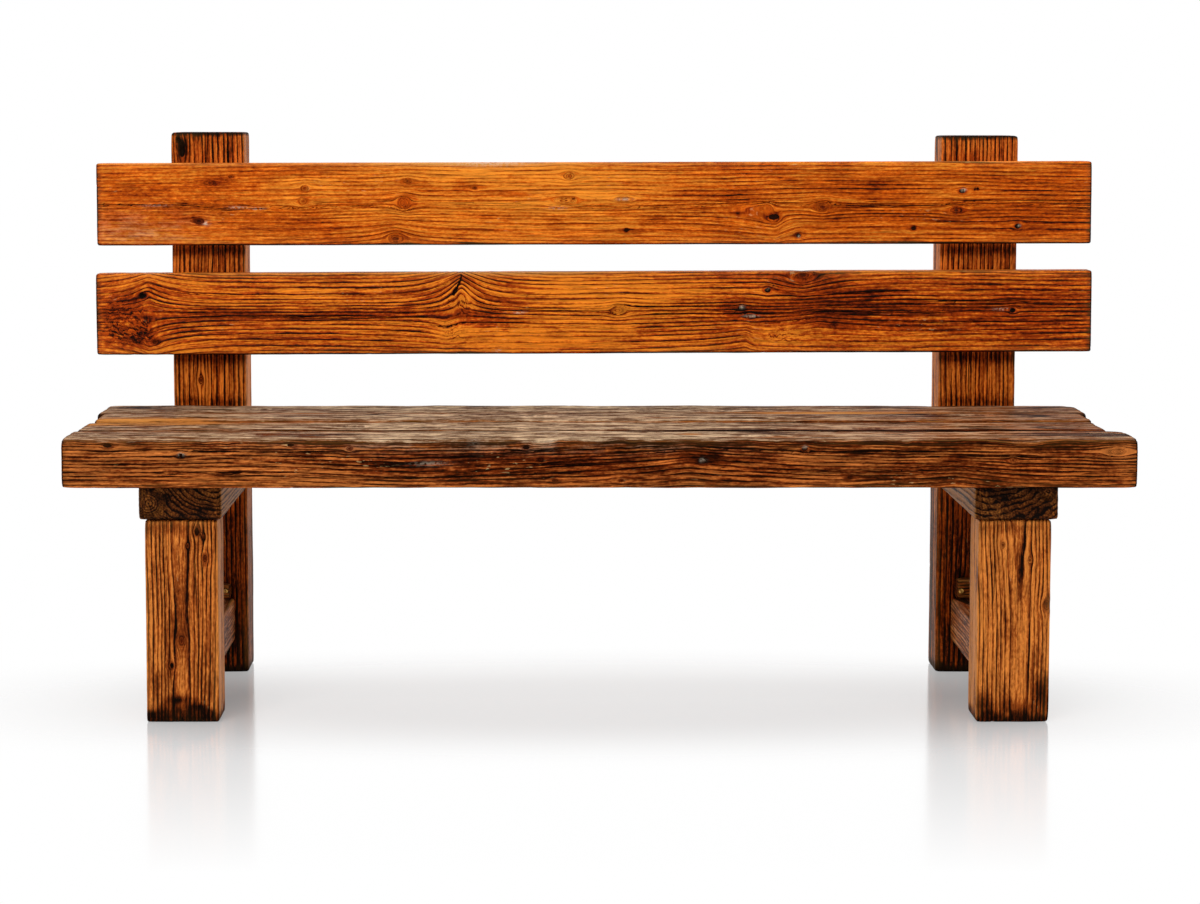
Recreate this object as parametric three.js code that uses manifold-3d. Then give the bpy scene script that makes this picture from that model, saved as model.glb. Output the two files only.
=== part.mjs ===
// A rustic bench of heavy planks: four seat boards on two side frames, with two broad back slats.
// Millimetres. X runs along the bench, the front looks towards -Y and Z is up.
// The origin lies on the floor under the middle of the bench.
import * as THREE from 'three';
import { mergeVertices } from 'three/addons/utils/BufferGeometryUtils.js';
import Module from 'manifold-3d';

const wasm = await Module();
wasm.setup();

// Overall layout; each side frame's middle is set in from the seat's end
const seatLength = 1600;
const seatDepth = 425;
const sideFrameInset = 168;

// Fits and cuts that every piece shares
const fitGap = 0.3;
const overrun = 6;

// Seat boards, from the front one to the rear one, which takes the depth that is left
const frontBoardWidth = 104;
const secondBoardWidth = 108;
const thirdBoardWidth = 92;
const boardJoint = 1;
const frontBoardThickness = 75;
const secondBoardThickness = 75.5;
const thirdBoardThickness = 79;
const rearBoardThickness = 78;
const secondBoardLeftSetback = 5;
const secondBoardRightSetback = 23;
const thirdBoardLeftSetback = 12;
const thirdBoardRightSetback = 22;
const rearBoardLeftSetback = 1;
const rearBoardRightSetback = 10;
const boardArris = 6;
const rearBoardCornerRadius = 28;

// Back slats, which reach past the seat at both ends
const upperSlatOverhang = 9;
const lowerSlatOverhang = 12;
const slatHeight = 134.5;
const slatThickness = 36;
const seatToSlatGap = 90.5;
const slatGap = 43.5;
const upperSlatRise = 3.6;
const lowerSlatRise = 5.6;
const slatArris = 4;

// Posts, which are the rear legs and carry the back
const leftPostWidth = 121;
const rightPostWidth = 127;
const postDepth = 80;
const leftPostRise = 48.5;
const rightPostRise = 43;
const postArris = 4;
const postTopEase = 9;

// Front legs
const legWidth = 112;
const legDepth = 76;
const legHeight = 312;
const legArris = 5;
const legInnerArris = 9;
const legEndEase = 3;

// Bearers, which carry the seat from front leg to post
const bearerWidth = 128;
const bearerThickness = 57;
const bearerSetback = 60;
const bearerNose = 12;
const bearerArris = 4;

// Side stretchers, low down between front leg and post
const stretcherWidth = 80;
const stretcherHeight = 72;
const stretcherClearance = 55;
const stretcherArris = 4;

// Corner blocks, seated on the stretchers against the posts
const blockWidth = 67;
const blockDepth = 25;
const leftBlockHeight = 24;
const rightBlockHeight = 33;
const blockRound = 9;
const blockArris = 2;

// Tenons of the side frames
const legTenonWidth = 34;
const legTenonDepth = 44;
const legTenonLength = 38;
const bearerTenonWidth = 60;
const bearerTenonThickness = 26;
const bearerTenonLength = 50;
const stretcherTenonWidth = 40;
const stretcherTenonHeight = 44;
const stretcherTenonLength = 40;

// Wooden pegs that lock the tenons, driven from the outer sides
const pegRadius = 5;
const pegLength = 92;
const pegProud = 0.8;
const pegTaper = 1;

// Coach screws that hold the slats, sunk into the backs of the posts
const coachScrewRadius = 4;
const coachScrewBite = 26;
const coachScrewPoint = 8;
const coachHeadAcrossFlats = 13;
const coachHeadHeight = 5.5;
const coachRecessRadius = 12.5;
const coachRecessDepth = 12;
const coachHoleClearance = 0.5;
const coachScrewAcross = 28;
const coachScrewUp = 34;
const washerRadius = 10;
const washerThickness = 1.6;

// Seat screws, driven up through the bearers
const seatScrewRadius = 2.75;
const seatScrewBite = 40;
const seatScrewPoint = 7;
const seatHeadRadius = 5.5;
const seatHeadHeight = 4;
const seatRecessRadius = 7;
const seatRecessDepth = 15;
const seatHoleClearance = 0.5;
const seatScrewAcross = 36;

// Brass screws that hold the corner blocks
const blockScrewRadius = 2;
const blockScrewBite = 18;
const blockScrewPoint = 5;
const blockHeadRadius = 4;
const blockHeadHeight = 2;
const blockScrewInset = 8;
const blockScrewHeight = 14;

// How finely round stretches are faceted
const arrisSteps = 2;
const endSteps = 1;
const screwSides = 8;
const pegSides = 10;
const washerSides = 12;
const holeSides = 10;

// Places worked out from the driving dimensions
const frameCentreX = seatLength / 2 - sideFrameInset;
const seatFrontY = -(seatDepth + postDepth) / 2;
const postFrontY = seatFrontY + seatDepth;
const postCentreY = postFrontY + postDepth / 2;
const bearerFrontY = seatFrontY + bearerSetback;
const bearerRearY = postFrontY - fitGap;
const legFrontY = bearerFrontY + bearerNose;
const legCentreY = legFrontY + legDepth / 2;
const legRearY = legFrontY + legDepth;
const bearerBottomZ = legHeight + fitGap;
const seatBottomZ = bearerBottomZ + bearerThickness + fitGap;
const legTenonPegZ = legHeight + legTenonLength / 2;
const bearerTenonZ = bearerBottomZ + bearerThickness / 2;
const stretcherCentreZ = stretcherClearance + stretcherHeight / 2;
const blockBottomZ = stretcherClearance + stretcherHeight + fitGap;
const blockScrewZ = blockBottomZ + blockScrewHeight;
const slatRearY = postFrontY - fitGap;
const slatCentreY = slatRearY - slatThickness / 2;
const lowerSlatBottomZ = seatBottomZ + frontBoardThickness + seatToSlatGap;
const upperSlatBottomZ = lowerSlatBottomZ + slatHeight + slatGap;
const upperSlatTopZ = upperSlatBottomZ + slatHeight;

const sides = [
  {
    name: 'left', sign: -1,
    postWidth: leftPostWidth, postHeight: upperSlatTopZ + leftPostRise, blockHeight: leftBlockHeight,
  },
  {
    name: 'right', sign: 1,
    postWidth: rightPostWidth, postHeight: upperSlatTopZ + rightPostRise, blockHeight: rightBlockHeight,
  },
];

const slats = [
  { name: 'upper', overhang: upperSlatOverhang, bottomZ: upperSlatBottomZ, rise: upperSlatRise },
  { name: 'lower', overhang: lowerSlatOverhang, bottomZ: lowerSlatBottomZ, rise: lowerSlatRise },
];

for (const slat of slats) {
  slat.length = seatLength + 2 * slat.overhang;
  slat.centreZ = slat.bottomZ + slatHeight / 2;
}

const boards = seatBoards();

// Finishes
const honeyWood = { color: 0xb75613, roughness: 0.42, metalness: 0 };
const amberWood = { color: 0x9c4712, roughness: 0.42, metalness: 0 };
const darkWood = { color: 0x673114, roughness: 0.5, metalness: 0 };
const legWood = { color: 0x884a20, roughness: 0.5, metalness: 0 };
const endGrainWood = { color: 0x43200c, roughness: 0.6, metalness: 0 };
const pegWood = { color: 0x7a4a26, roughness: 0.6, metalness: 0 };
const steel = { color: 0x9a9893, roughness: 0.4, metalness: 1 };
const brass = { color: 0xc79a4a, roughness: 0.35, metalness: 1 };

/** Turns a closed geometry into a solid that can be joined and cut. */
function solidOf(geometry) {
  const bare = geometry.clone();
  bare.deleteAttribute('normal');
  bare.deleteAttribute('uv');
  const merged = mergeVertices(bare);
  const mesh = new wasm.Mesh({
    numProp: 3,
    vertProperties: new Float32Array(merged.attributes.position.array),
    triVerts: new Uint32Array(merged.index.array),
  });
  return new wasm.Manifold(mesh);
}

/** Turns a solid back into a geometry for a mesh. */
function geometryOf(solid) {
  const { vertProperties, triVerts } = solid.getMesh();
  const geometry = new THREE.BufferGeometry();
  geometry.setAttribute('position', new THREE.BufferAttribute(vertProperties, 3));
  geometry.setIndex(new THREE.BufferAttribute(triVerts, 1));
  geometry.computeVertexNormals();
  return geometry;
}

/** A named mesh of one solid with a material of its own, set at its place. */
function piece(name, solid, finish, x, y, z) {
  const material = new THREE.MeshStandardMaterial({ ...finish, flatShading: true });
  const mesh = new THREE.Mesh(geometryOf(solid), material);
  mesh.name = name;
  mesh.position.set(x, y, z);
  return mesh;
}

/** A rectangle about the origin with rounded corners, whose radii run anticlockwise from the lower left. */
function easedRectangle(width, height, radii) {
  const signs = [[-1, -1], [1, -1], [1, 1], [-1, 1]];
  const points = signs.flatMap(([signX, signY], corner) => {
    const radius = radii[corner];
    const start = Math.PI + corner * Math.PI / 2;
    return Array.from({ length: arrisSteps + 1 }, (_, step) => {
      const angle = start + step / arrisSteps * Math.PI / 2;
      const x = signX * (width / 2 - radius) + radius * Math.cos(angle);
      const y = signY * (height / 2 - radius) + radius * Math.sin(angle);
      return new THREE.Vector2(x, y);
    });
  });
  return new THREE.Shape(points);
}

/** A rectangle about the origin with all four corners rounded alike. */
function evenRectangle(width, height, radius) {
  return easedRectangle(width, height, [radius, radius, radius, radius]);
}

/** A section run up the Z axis from zero, with the edges of both ends eased. */
function standingTimber(section, length, endEase) {
  const geometry = new THREE.ExtrudeGeometry(section, {
    depth: length - 2 * endEase,
    bevelThickness: endEase,
    bevelSize: endEase,
    bevelOffset: -endEase,
    bevelSegments: endSteps,
  });
  geometry.translate(0, 0, endEase);
  return geometry;
}

/** Lays a standing timber along Y: its width stays across X. */
function layAlongY(geometry) {
  return geometry.rotateX(-Math.PI / 2);
}

/** Lays a standing timber along X about its middle: its width turns to Y and its height to Z. */
function layAlongX(geometry, length) {
  const turn = new THREE.Matrix4().makeBasis(
    new THREE.Vector3(0, 1, 0),
    new THREE.Vector3(0, 0, 1),
    new THREE.Vector3(1, 0, 0),
  );
  return geometry.applyMatrix4(turn).translate(-length / 2, 0, 0);
}

/** A plain box between two corners. */
function boxBetween(low, high) {
  const size = high.map((value, axis) => value - low[axis]);
  const geometry = new THREE.BoxGeometry(...size);
  geometry.translate(...low.map((value, axis) => value + size[axis] / 2));
  return solidOf(geometry);
}

/** A box by its middle in X and Z, from one Y to another, as tenons and mortises need. */
function tenonBox(centreZ, width, height, startY, endY) {
  return boxBetween(
    [-width / 2, startY, centreZ - height / 2],
    [width / 2, endY, centreZ + height / 2],
  );
}

/** A round hole along Y between two places. */
function holeAlongY(x, z, radius, startY, endY) {
  const geometry = new THREE.CylinderGeometry(radius, radius, endY - startY, holeSides);
  geometry.translate(x, (startY + endY) / 2, z);
  return solidOf(geometry);
}

/** A round hole up the Z axis between two heights. */
function holeAlongZ(x, y, radius, startZ, endZ) {
  const geometry = new THREE.CylinderGeometry(radius, radius, endZ - startZ, holeSides);
  geometry.rotateX(Math.PI / 2);
  geometry.translate(x, y, (startZ + endZ) / 2);
  return solidOf(geometry);
}

/** The hole that a peg fills, from an outer face that lies at faceX. */
function pegHole(sign, faceX, y, z) {
  const length = pegLength - pegProud + fitGap + overrun;
  const geometry = new THREE.CylinderGeometry(pegRadius + fitGap, pegRadius + fitGap, length, pegSides);
  geometry.rotateZ(Math.PI / 2);
  geometry.translate(sign * (faceX + overrun - length / 2), y, z);
  return solidOf(geometry);
}

/** Subtracts every cutter from a solid. */
function cut(solid, cutters) {
  return cutters.reduce((rest, cutter) => rest.subtract(cutter), solid);
}

/** A screw of revolution along Y: its head above zero, its shank and point below. */
function screwProfile(radius, length, point, headRadius, headHeight) {
  return new THREE.LatheGeometry([
    new THREE.Vector2(0, -length),
    new THREE.Vector2(radius, point - length),
    new THREE.Vector2(radius, 0),
    new THREE.Vector2(headRadius, 0),
    new THREE.Vector2(headRadius, headHeight / 2),
    new THREE.Vector2(headRadius / 2, headHeight),
    new THREE.Vector2(0, headHeight),
  ], screwSides);
}

/** The four seat boards with their widths, places and setbacks from the seat's ends. */
function seatBoards() {
  const frontThreeWidths = frontBoardWidth + secondBoardWidth + thirdBoardWidth;
  const rearBoardWidth = slatRearY - seatFrontY - frontThreeWidths - 3 * boardJoint;
  const list = [
    { name: 'front', width: frontBoardWidth, thickness: frontBoardThickness, left: 0, right: 0 },
    {
      name: 'second', width: secondBoardWidth, thickness: secondBoardThickness,
      left: secondBoardLeftSetback, right: secondBoardRightSetback,
    },
    {
      name: 'third', width: thirdBoardWidth, thickness: thirdBoardThickness,
      left: thirdBoardLeftSetback, right: thirdBoardRightSetback,
    },
    {
      name: 'rear', width: rearBoardWidth, thickness: rearBoardThickness,
      left: rearBoardLeftSetback, right: rearBoardRightSetback,
    },
  ];
  let frontY = seatFrontY;
  for (const board of list) {
    board.frontY = frontY;
    board.rearY = frontY + board.width;
    board.length = seatLength - board.left - board.right;
    board.centreX = (board.left - board.right) / 2;
    board.screwY = (Math.max(board.frontY, bearerFrontY) + Math.min(board.rearY, bearerRearY)) / 2;
    frontY = board.rearY + boardJoint;
  }
  return list;
}

/** The places of the two screws that each side frame sends up into a board. */
function seatScrewOffsets() {
  return [-seatScrewAcross, seatScrewAcross];
}

/** One seat board, bored from below for its screws. */
function seatBoard(board) {
  const section = evenRectangle(board.width, board.thickness, boardArris);
  let solid = solidOf(layAlongX(standingTimber(section, board.length, boardArris / 2), board.length));
  if (board.name === 'rear') {
    const outline = easedRectangle(
      board.length + boardArris,
      board.width + boardArris,
      [boardArris, boardArris, rearBoardCornerRadius, boardArris],
    );
    const depth = board.thickness + 2 * overrun;
    const blank = new THREE.ExtrudeGeometry(outline, { depth, bevelEnabled: false });
    blank.translate(-boardArris / 2, -boardArris / 2, -board.thickness / 2 - overrun);
    solid = solid.intersect(solidOf(blank));
  }
  const centreY = (board.frontY + board.rearY) / 2;
  const holes = sides.flatMap(({ sign }) => seatScrewOffsets().map((across) => holeAlongZ(
    sign * frameCentreX + across - board.centreX,
    board.screwY - centreY,
    seatScrewRadius + fitGap,
    -board.thickness / 2 - overrun,
    -board.thickness / 2 + seatScrewBite + fitGap,
  )));
  return piece(
    `seat_board_${board.name}`, cut(solid, holes), darkWood,
    board.centreX, centreY, seatBottomZ + board.thickness / 2,
  );
}

/** The places, as seen from the back, of the two coach screws at each crossing of post and slat. */
function coachScrewPlaces(slat, side) {
  const slope = slat.rise / slat.length;
  const crossing = side.sign * frameCentreX;
  return [-1, 1].map((turn) => {
    const across = turn * coachScrewAcross;
    const x = crossing + across;
    return { across, x, z: slat.centreZ + slope * x + turn * side.sign * coachScrewUp };
  });
}

/** One back slat, rising a little to the right, with blind pilot holes in its rear face. */
function backSlat(slat) {
  const section = evenRectangle(slatThickness, slatHeight, slatArris);
  const solid = solidOf(layAlongX(standingTimber(section, slat.length, slatArris / 2), slat.length));
  const angle = Math.atan2(slat.rise, slat.length);
  const holes = sides.flatMap((side) => coachScrewPlaces(slat, side).map(({ x, z }) => {
    const up = z - slat.centreZ;
    return holeAlongY(
      x * Math.cos(angle) + up * Math.sin(angle),
      up * Math.cos(angle) - x * Math.sin(angle),
      coachScrewRadius + fitGap,
      slatThickness / 2 - coachScrewBite - fitGap,
      slatThickness / 2 + overrun,
    );
  }));
  const finish = slat.name === 'upper' ? honeyWood : amberWood;
  const mesh = piece(`${slat.name}_back_slat`, cut(solid, holes), finish, 0, slatCentreY, slat.centreZ);
  mesh.rotation.y = -angle;
  return mesh;
}

/** A blank as wide as a post, chamfered round its top and running past the floor. */
function topChamferBlank(side) {
  const x = side.postWidth / 2;
  const y = postDepth / 2;
  const corners = [[-x, -y], [x, -y], [x, y], [-x, y]].map((corner) => new THREE.Vector2(...corner));
  const geometry = new THREE.ExtrudeGeometry(new THREE.Shape(corners), {
    depth: side.postHeight,
    bevelThickness: postTopEase,
    bevelSize: postTopEase,
    bevelOffset: -postTopEase,
    bevelSegments: endSteps,
  });
  geometry.translate(0, 0, -postTopEase);
  return solidOf(geometry);
}

/** One post with its worn top, two mortises, two peg holes and the sunk holes of its coach screws. */
function post(side) {
  const section = evenRectangle(side.postWidth, postDepth, postArris);
  const shaft = solidOf(standingTimber(section, side.postHeight, legEndEase));
  const front = -postDepth / 2;
  const back = postDepth / 2;
  const cutters = [
    tenonBox(
      bearerTenonZ, bearerTenonWidth + 2 * fitGap, bearerTenonThickness + 2 * fitGap,
      front - overrun, front + bearerTenonLength + fitGap,
    ),
    tenonBox(
      stretcherCentreZ, stretcherTenonWidth + 2 * fitGap, stretcherTenonHeight + 2 * fitGap,
      front - overrun, front + stretcherTenonLength + fitGap,
    ),
    pegHole(side.sign, side.postWidth / 2, front + bearerTenonLength / 2, bearerTenonZ),
    pegHole(side.sign, side.postWidth / 2, front + stretcherTenonLength / 2, stretcherCentreZ),
    holeAlongY(
      blockScrewX(side), blockScrewZ, blockScrewRadius + fitGap,
      front - overrun, front + blockScrewBite + fitGap,
    ),
  ];
  const coachHoleRadius = coachScrewRadius + coachHoleClearance;
  for (const slat of slats) {
    for (const { across, z } of coachScrewPlaces(slat, side)) {
      cutters.push(holeAlongY(across, z, coachHoleRadius, front - overrun, back + overrun));
      cutters.push(holeAlongY(across, z, coachRecessRadius, back - coachRecessDepth, back + overrun));
    }
  }
  const worn = shaft.intersect(topChamferBlank(side));
  return piece(`${side.name}_post`, cut(worn, cutters), amberWood, 0, postCentreY, 0);
}

/** One front leg: a tenon on top, a mortise for the stretcher and two peg holes. */
function frontLeg(side) {
  const frontRadii = side.sign < 0 ? [legArris, legInnerArris] : [legInnerArris, legArris];
  const section = easedRectangle(legWidth, legDepth, [...frontRadii, legArris, legArris]);
  const shaft = solidOf(standingTimber(section, legHeight, legEndEase));
  const tenon = boxBetween(
    [-legTenonWidth / 2, -legTenonDepth / 2, legHeight - overrun],
    [legTenonWidth / 2, legTenonDepth / 2, legHeight + legTenonLength],
  );
  const rear = legDepth / 2;
  const cutters = [
    tenonBox(
      stretcherCentreZ, stretcherTenonWidth + 2 * fitGap, stretcherTenonHeight + 2 * fitGap,
      rear - stretcherTenonLength - fitGap, rear + overrun,
    ),
    pegHole(side.sign, legWidth / 2, rear - stretcherTenonLength / 2, stretcherCentreZ),
    pegHole(side.sign, bearerWidth / 2, 0, legTenonPegZ),
  ];
  return piece(`${side.name}_front_leg`, cut(shaft.add(tenon), cutters), legWood, 0, legCentreY, 0);
}

/** One bearer: it is mortised for the leg, tenoned into the post and bored for the seat screws. */
function bearer(side) {
  const length = bearerRearY - bearerFrontY;
  const section = evenRectangle(bearerWidth, bearerThickness, bearerArris);
  const beam = layAlongY(standingTimber(section, length, bearerArris / 2));
  beam.translate(0, 0, bearerThickness / 2);
  const tenon = tenonBox(
    bearerThickness / 2, bearerTenonWidth, bearerTenonThickness,
    length - overrun, length + bearerTenonLength,
  );
  const legY = legCentreY - bearerFrontY;
  const postTenonY = length + bearerTenonLength / 2 + fitGap;
  const cutters = [
    boxBetween(
      [-legTenonWidth / 2 - fitGap, legY - legTenonDepth / 2 - fitGap, -overrun],
      [legTenonWidth / 2 + fitGap, legY + legTenonDepth / 2 + fitGap, legTenonLength + fitGap],
    ),
    pegHole(side.sign, bearerWidth / 2, legY, legTenonPegZ - bearerBottomZ),
    pegHole(side.sign, side.postWidth / 2, postTenonY, bearerTenonZ - bearerBottomZ),
  ];
  for (const board of boards) {
    for (const across of seatScrewOffsets()) {
      const y = board.screwY - bearerFrontY;
      const radius = seatScrewRadius + seatHoleClearance;
      cutters.push(holeAlongZ(across, y, radius, -overrun, bearerThickness + overrun));
      cutters.push(holeAlongZ(across, y, seatRecessRadius, -overrun, seatRecessDepth));
    }
  }
  return piece(
    `${side.name}_seat_bearer`, cut(solidOf(beam).add(tenon), cutters), endGrainWood,
    0, bearerFrontY, bearerBottomZ,
  );
}

/** One side stretcher with a tenon at each end. */
function stretcher(side) {
  const startY = legRearY + fitGap;
  const length = postFrontY - fitGap - startY;
  const section = evenRectangle(stretcherWidth, stretcherHeight, stretcherArris);
  const rail = solidOf(layAlongY(standingTimber(section, length, stretcherArris / 2)));
  const tenons = tenonBox(
    0, stretcherTenonWidth, stretcherTenonHeight,
    -stretcherTenonLength, length + stretcherTenonLength,
  );
  const cutters = [
    pegHole(side.sign, legWidth / 2, legRearY - stretcherTenonLength / 2 - startY, 0),
    pegHole(side.sign, side.postWidth / 2, postFrontY + stretcherTenonLength / 2 - startY, 0),
  ];
  return piece(
    `${side.name}_side_stretcher`, cut(rail.add(tenons), cutters), legWood,
    0, startY, stretcherCentreZ,
  );
}

/** Where a corner block's screw runs, across from the middle of the side frame. */
function blockScrewX(side) {
  return -side.sign * (blockWidth / 2 - blockScrewInset);
}

/** One corner block, bored for its screw. Laying it down turns its round lower corners to the top. */
function cornerBlock(side) {
  const radii = [blockRound, blockRound, blockArris, blockArris];
  const section = easedRectangle(blockWidth, side.blockHeight, radii);
  const body = layAlongY(standingTimber(section, blockDepth, blockArris / 2));
  body.translate(0, 0, side.blockHeight / 2);
  const hole = holeAlongY(
    blockScrewX(side), blockScrewHeight, blockScrewRadius + fitGap,
    -overrun, blockDepth + overrun,
  );
  return piece(
    `${side.name}_corner_block`, cut(solidOf(body), [hole]), pegWood,
    0, postFrontY - fitGap - blockDepth, blockBottomZ,
  );
}

/** The brass screw that runs through a corner block into the post. */
function blockScrew(side) {
  const length = blockDepth + 2 * fitGap + blockScrewBite;
  const screw = screwProfile(blockScrewRadius, length, blockScrewPoint, blockHeadRadius, blockHeadHeight);
  screw.rotateX(Math.PI);
  return piece(
    `${side.name}_block_screw`, solidOf(screw), brass, blockScrewX(side),
    postFrontY - 2 * fitGap - blockDepth, blockScrewZ,
  );
}

/** A peg with tapered ends, its outer end standing a little proud of the face at faceX. */
function peg(name, side, faceX, y, z) {
  const geometry = new THREE.LatheGeometry([
    new THREE.Vector2(0, -pegLength / 2),
    new THREE.Vector2(pegRadius - pegTaper, -pegLength / 2),
    new THREE.Vector2(pegRadius, pegTaper - pegLength / 2),
    new THREE.Vector2(pegRadius, pegLength / 2 - pegTaper),
    new THREE.Vector2(pegRadius - pegTaper, pegLength / 2),
    new THREE.Vector2(0, pegLength / 2),
  ], pegSides);
  geometry.rotateZ(-Math.PI / 2);
  return piece(name, solidOf(geometry), pegWood, side.sign * (faceX + pegProud - pegLength / 2), y, z);
}

/** The four pegs of one side frame. */
function pegs(side) {
  const postX = side.postWidth / 2;
  return [
    peg(`${side.name}_peg_leg_to_bearer`, side, bearerWidth / 2, legCentreY, legTenonPegZ),
    peg(`${side.name}_peg_bearer_to_post`, side, postX, postFrontY + bearerTenonLength / 2, bearerTenonZ),
    peg(
      `${side.name}_peg_stretcher_to_leg`, side, legWidth / 2,
      legRearY - stretcherTenonLength / 2, stretcherCentreZ,
    ),
    peg(
      `${side.name}_peg_stretcher_to_post`, side, postX,
      postFrontY + stretcherTenonLength / 2, stretcherCentreZ,
    ),
  ];
}

/** A coach screw with its hexagon head to the back, measured from the underside of the head. */
function coachScrewSolid() {
  const length = postDepth - coachRecessDepth + washerThickness + 3 * fitGap + coachScrewBite;
  const shank = new THREE.LatheGeometry([
    new THREE.Vector2(0, -length),
    new THREE.Vector2(coachScrewRadius, coachScrewPoint - length),
    new THREE.Vector2(coachScrewRadius, coachHeadHeight / 2),
    new THREE.Vector2(0, coachHeadHeight / 2),
  ], screwSides);
  const headRadius = coachHeadAcrossFlats / 2 / Math.cos(Math.PI / 6);
  const head = new THREE.CylinderGeometry(headRadius, headRadius, coachHeadHeight, 6);
  head.translate(0, coachHeadHeight / 2, 0);
  return solidOf(shank).add(solidOf(head));
}

/** A flat ring that lies square to Y, measured from its front face. */
function washerSolid() {
  const bore = coachScrewRadius + fitGap;
  const geometry = new THREE.LatheGeometry([
    new THREE.Vector2(bore, 0),
    new THREE.Vector2(washerRadius, 0),
    new THREE.Vector2(washerRadius, washerThickness),
    new THREE.Vector2(bore, washerThickness),
    new THREE.Vector2(bore, 0),
  ], washerSides);
  return solidOf(geometry);
}

/** The coach screws and washers of one side frame, two at each slat. */
function coachScrews(side) {
  const seatY = postFrontY + postDepth - coachRecessDepth + fitGap;
  return slats.flatMap((slat) => coachScrewPlaces(slat, side).flatMap(({ across, z }, index) => {
    const place = `${side.name}_${slat.name}_${index + 1}`;
    return [
      piece(`coach_screw_${place}`, coachScrewSolid(), steel, across, seatY + washerThickness + fitGap, z),
      piece(`washer_${place}`, washerSolid(), steel, across, seatY, z),
    ];
  }));
}

/** The seat screws of one side frame, two under each board. */
function seatScrews(side) {
  const headZ = bearerBottomZ + seatRecessDepth - fitGap;
  const length = bearerThickness - seatRecessDepth + 2 * fitGap + seatScrewBite;
  return boards.flatMap((board) => seatScrewOffsets().map((across, index) => {
    const screw = screwProfile(seatScrewRadius, length, seatScrewPoint, seatHeadRadius, seatHeadHeight);
    screw.rotateX(-Math.PI / 2);
    const name = `seat_screw_${side.name}_${board.name}_${index + 1}`;
    return piece(name, solidOf(screw), steel, across, board.screwY, headZ);
  }));
}

/** One whole side frame about its own centre line. */
function sideFrame(side) {
  const frame = new THREE.Group();
  frame.position.x = side.sign * frameCentreX;
  frame.add(
    post(side),
    frontLeg(side),
    bearer(side),
    stretcher(side),
    cornerBlock(side),
    blockScrew(side),
    ...pegs(side),
    ...coachScrews(side),
    ...seatScrews(side),
  );
  return frame;
}

const group = new THREE.Group();
group.add(
  ...boards.map(seatBoard),
  ...slats.map(backSlat),
  ...sides.map(sideFrame),
);

export default group;
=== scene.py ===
"""Dresses a rustic plank bench: worn, varnished timbers, pegs and screws, and a plain pale stage."""

import math
from functools import partial, reduce
from typing import NamedTuple

import bpy
import numpy as np
from bpy.props import FloatProperty, FloatVectorProperty, PointerProperty
from mathutils import Matrix, Vector


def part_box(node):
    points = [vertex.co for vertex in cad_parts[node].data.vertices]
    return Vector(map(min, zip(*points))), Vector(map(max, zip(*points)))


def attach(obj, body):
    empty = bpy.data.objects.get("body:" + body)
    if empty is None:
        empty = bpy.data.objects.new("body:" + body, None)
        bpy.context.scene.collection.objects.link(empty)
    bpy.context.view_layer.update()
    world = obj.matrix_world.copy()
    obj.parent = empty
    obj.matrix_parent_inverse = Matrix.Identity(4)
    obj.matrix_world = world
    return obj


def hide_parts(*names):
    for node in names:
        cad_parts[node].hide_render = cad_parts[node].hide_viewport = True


bl_info = {
    "name": "Rustic plank bench",
    "version": (1, 0, 0),
    "blender": (4, 5, 0),
    "location": "View3D > Sidebar > Bench",
    "description": "Builds the worn timbers, fixings and stage of a plank bench with a two-slat back",
    "category": "Object",
}

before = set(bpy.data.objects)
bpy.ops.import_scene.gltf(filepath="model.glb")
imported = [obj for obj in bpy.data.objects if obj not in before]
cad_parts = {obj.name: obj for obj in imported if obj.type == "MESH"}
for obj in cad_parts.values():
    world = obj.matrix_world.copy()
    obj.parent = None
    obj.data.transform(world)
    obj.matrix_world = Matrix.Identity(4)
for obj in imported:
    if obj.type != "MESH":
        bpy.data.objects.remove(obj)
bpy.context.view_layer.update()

# Lengths in this file are millimetres unless they say otherwise. The scene itself is in metres.
MM = 0.001
BODY = "root"
SIDES = ("left", "right")
FIT_GAP = 0.3

RIGHT = (1, 0, 0)
BACK = (0, 1, 0)
UP = (0, 0, 1)
FRONT = (0, -1, 0)


def to_linear(*levels):
    """A colour as it shows on a screen, from 0 to 255, as the linear colour that shaders use."""
    shares = [level / 255 for level in levels]
    return tuple(s / 12.92 if s <= 0.04045 else ((s + 0.055) / 1.055) ** 2.4 for s in shares)


# What one timber is made of

class Cut(NamedTuple):
    """Where the heart of the tree lies for a timber, how wide its rings are, and a second, small heart."""
    heart_across: float
    heart_depth: float
    ring_width: float
    wander: float = 10
    wander_length: float = 420
    lean: float = 0
    seed: int = 1
    eye_across: float = 0
    eye_depth: float = 0
    eye_radius: float = 0


class Knot(NamedTuple):
    """A branch that grew through a timber, on its shown face or on its lower edge face.

    Stretch is its length to its width, swell is how far it pushes the grain aside, in radii, tone is how
    dark it is, rotted above 1, and pit is the depth of its hollow.
    """
    along: float
    across: float
    radius: float
    stretch: float = 1.7
    swell: float = 1.6
    tone: float = 0.5
    pit: float = 0.6
    on_edge: bool = False


class Swirl(NamedTuple):
    """A place where the grain rises or draws together, with its own reach beyond the middle if given."""
    along: float
    across: float
    reach_along: float
    reach_across: float
    rise: float = 0.0
    pinch: float = 0.0
    after: float = 0.0
    on_edge: bool = False


class Crack(NamedTuple):
    """A drying crack along the grain of the shown face, or of the lower edge face."""
    start: float
    end: float
    across: float
    width: float = 0.9
    slope: float = 0.0
    wander: float = 0.8
    on_edge: bool = False


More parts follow.
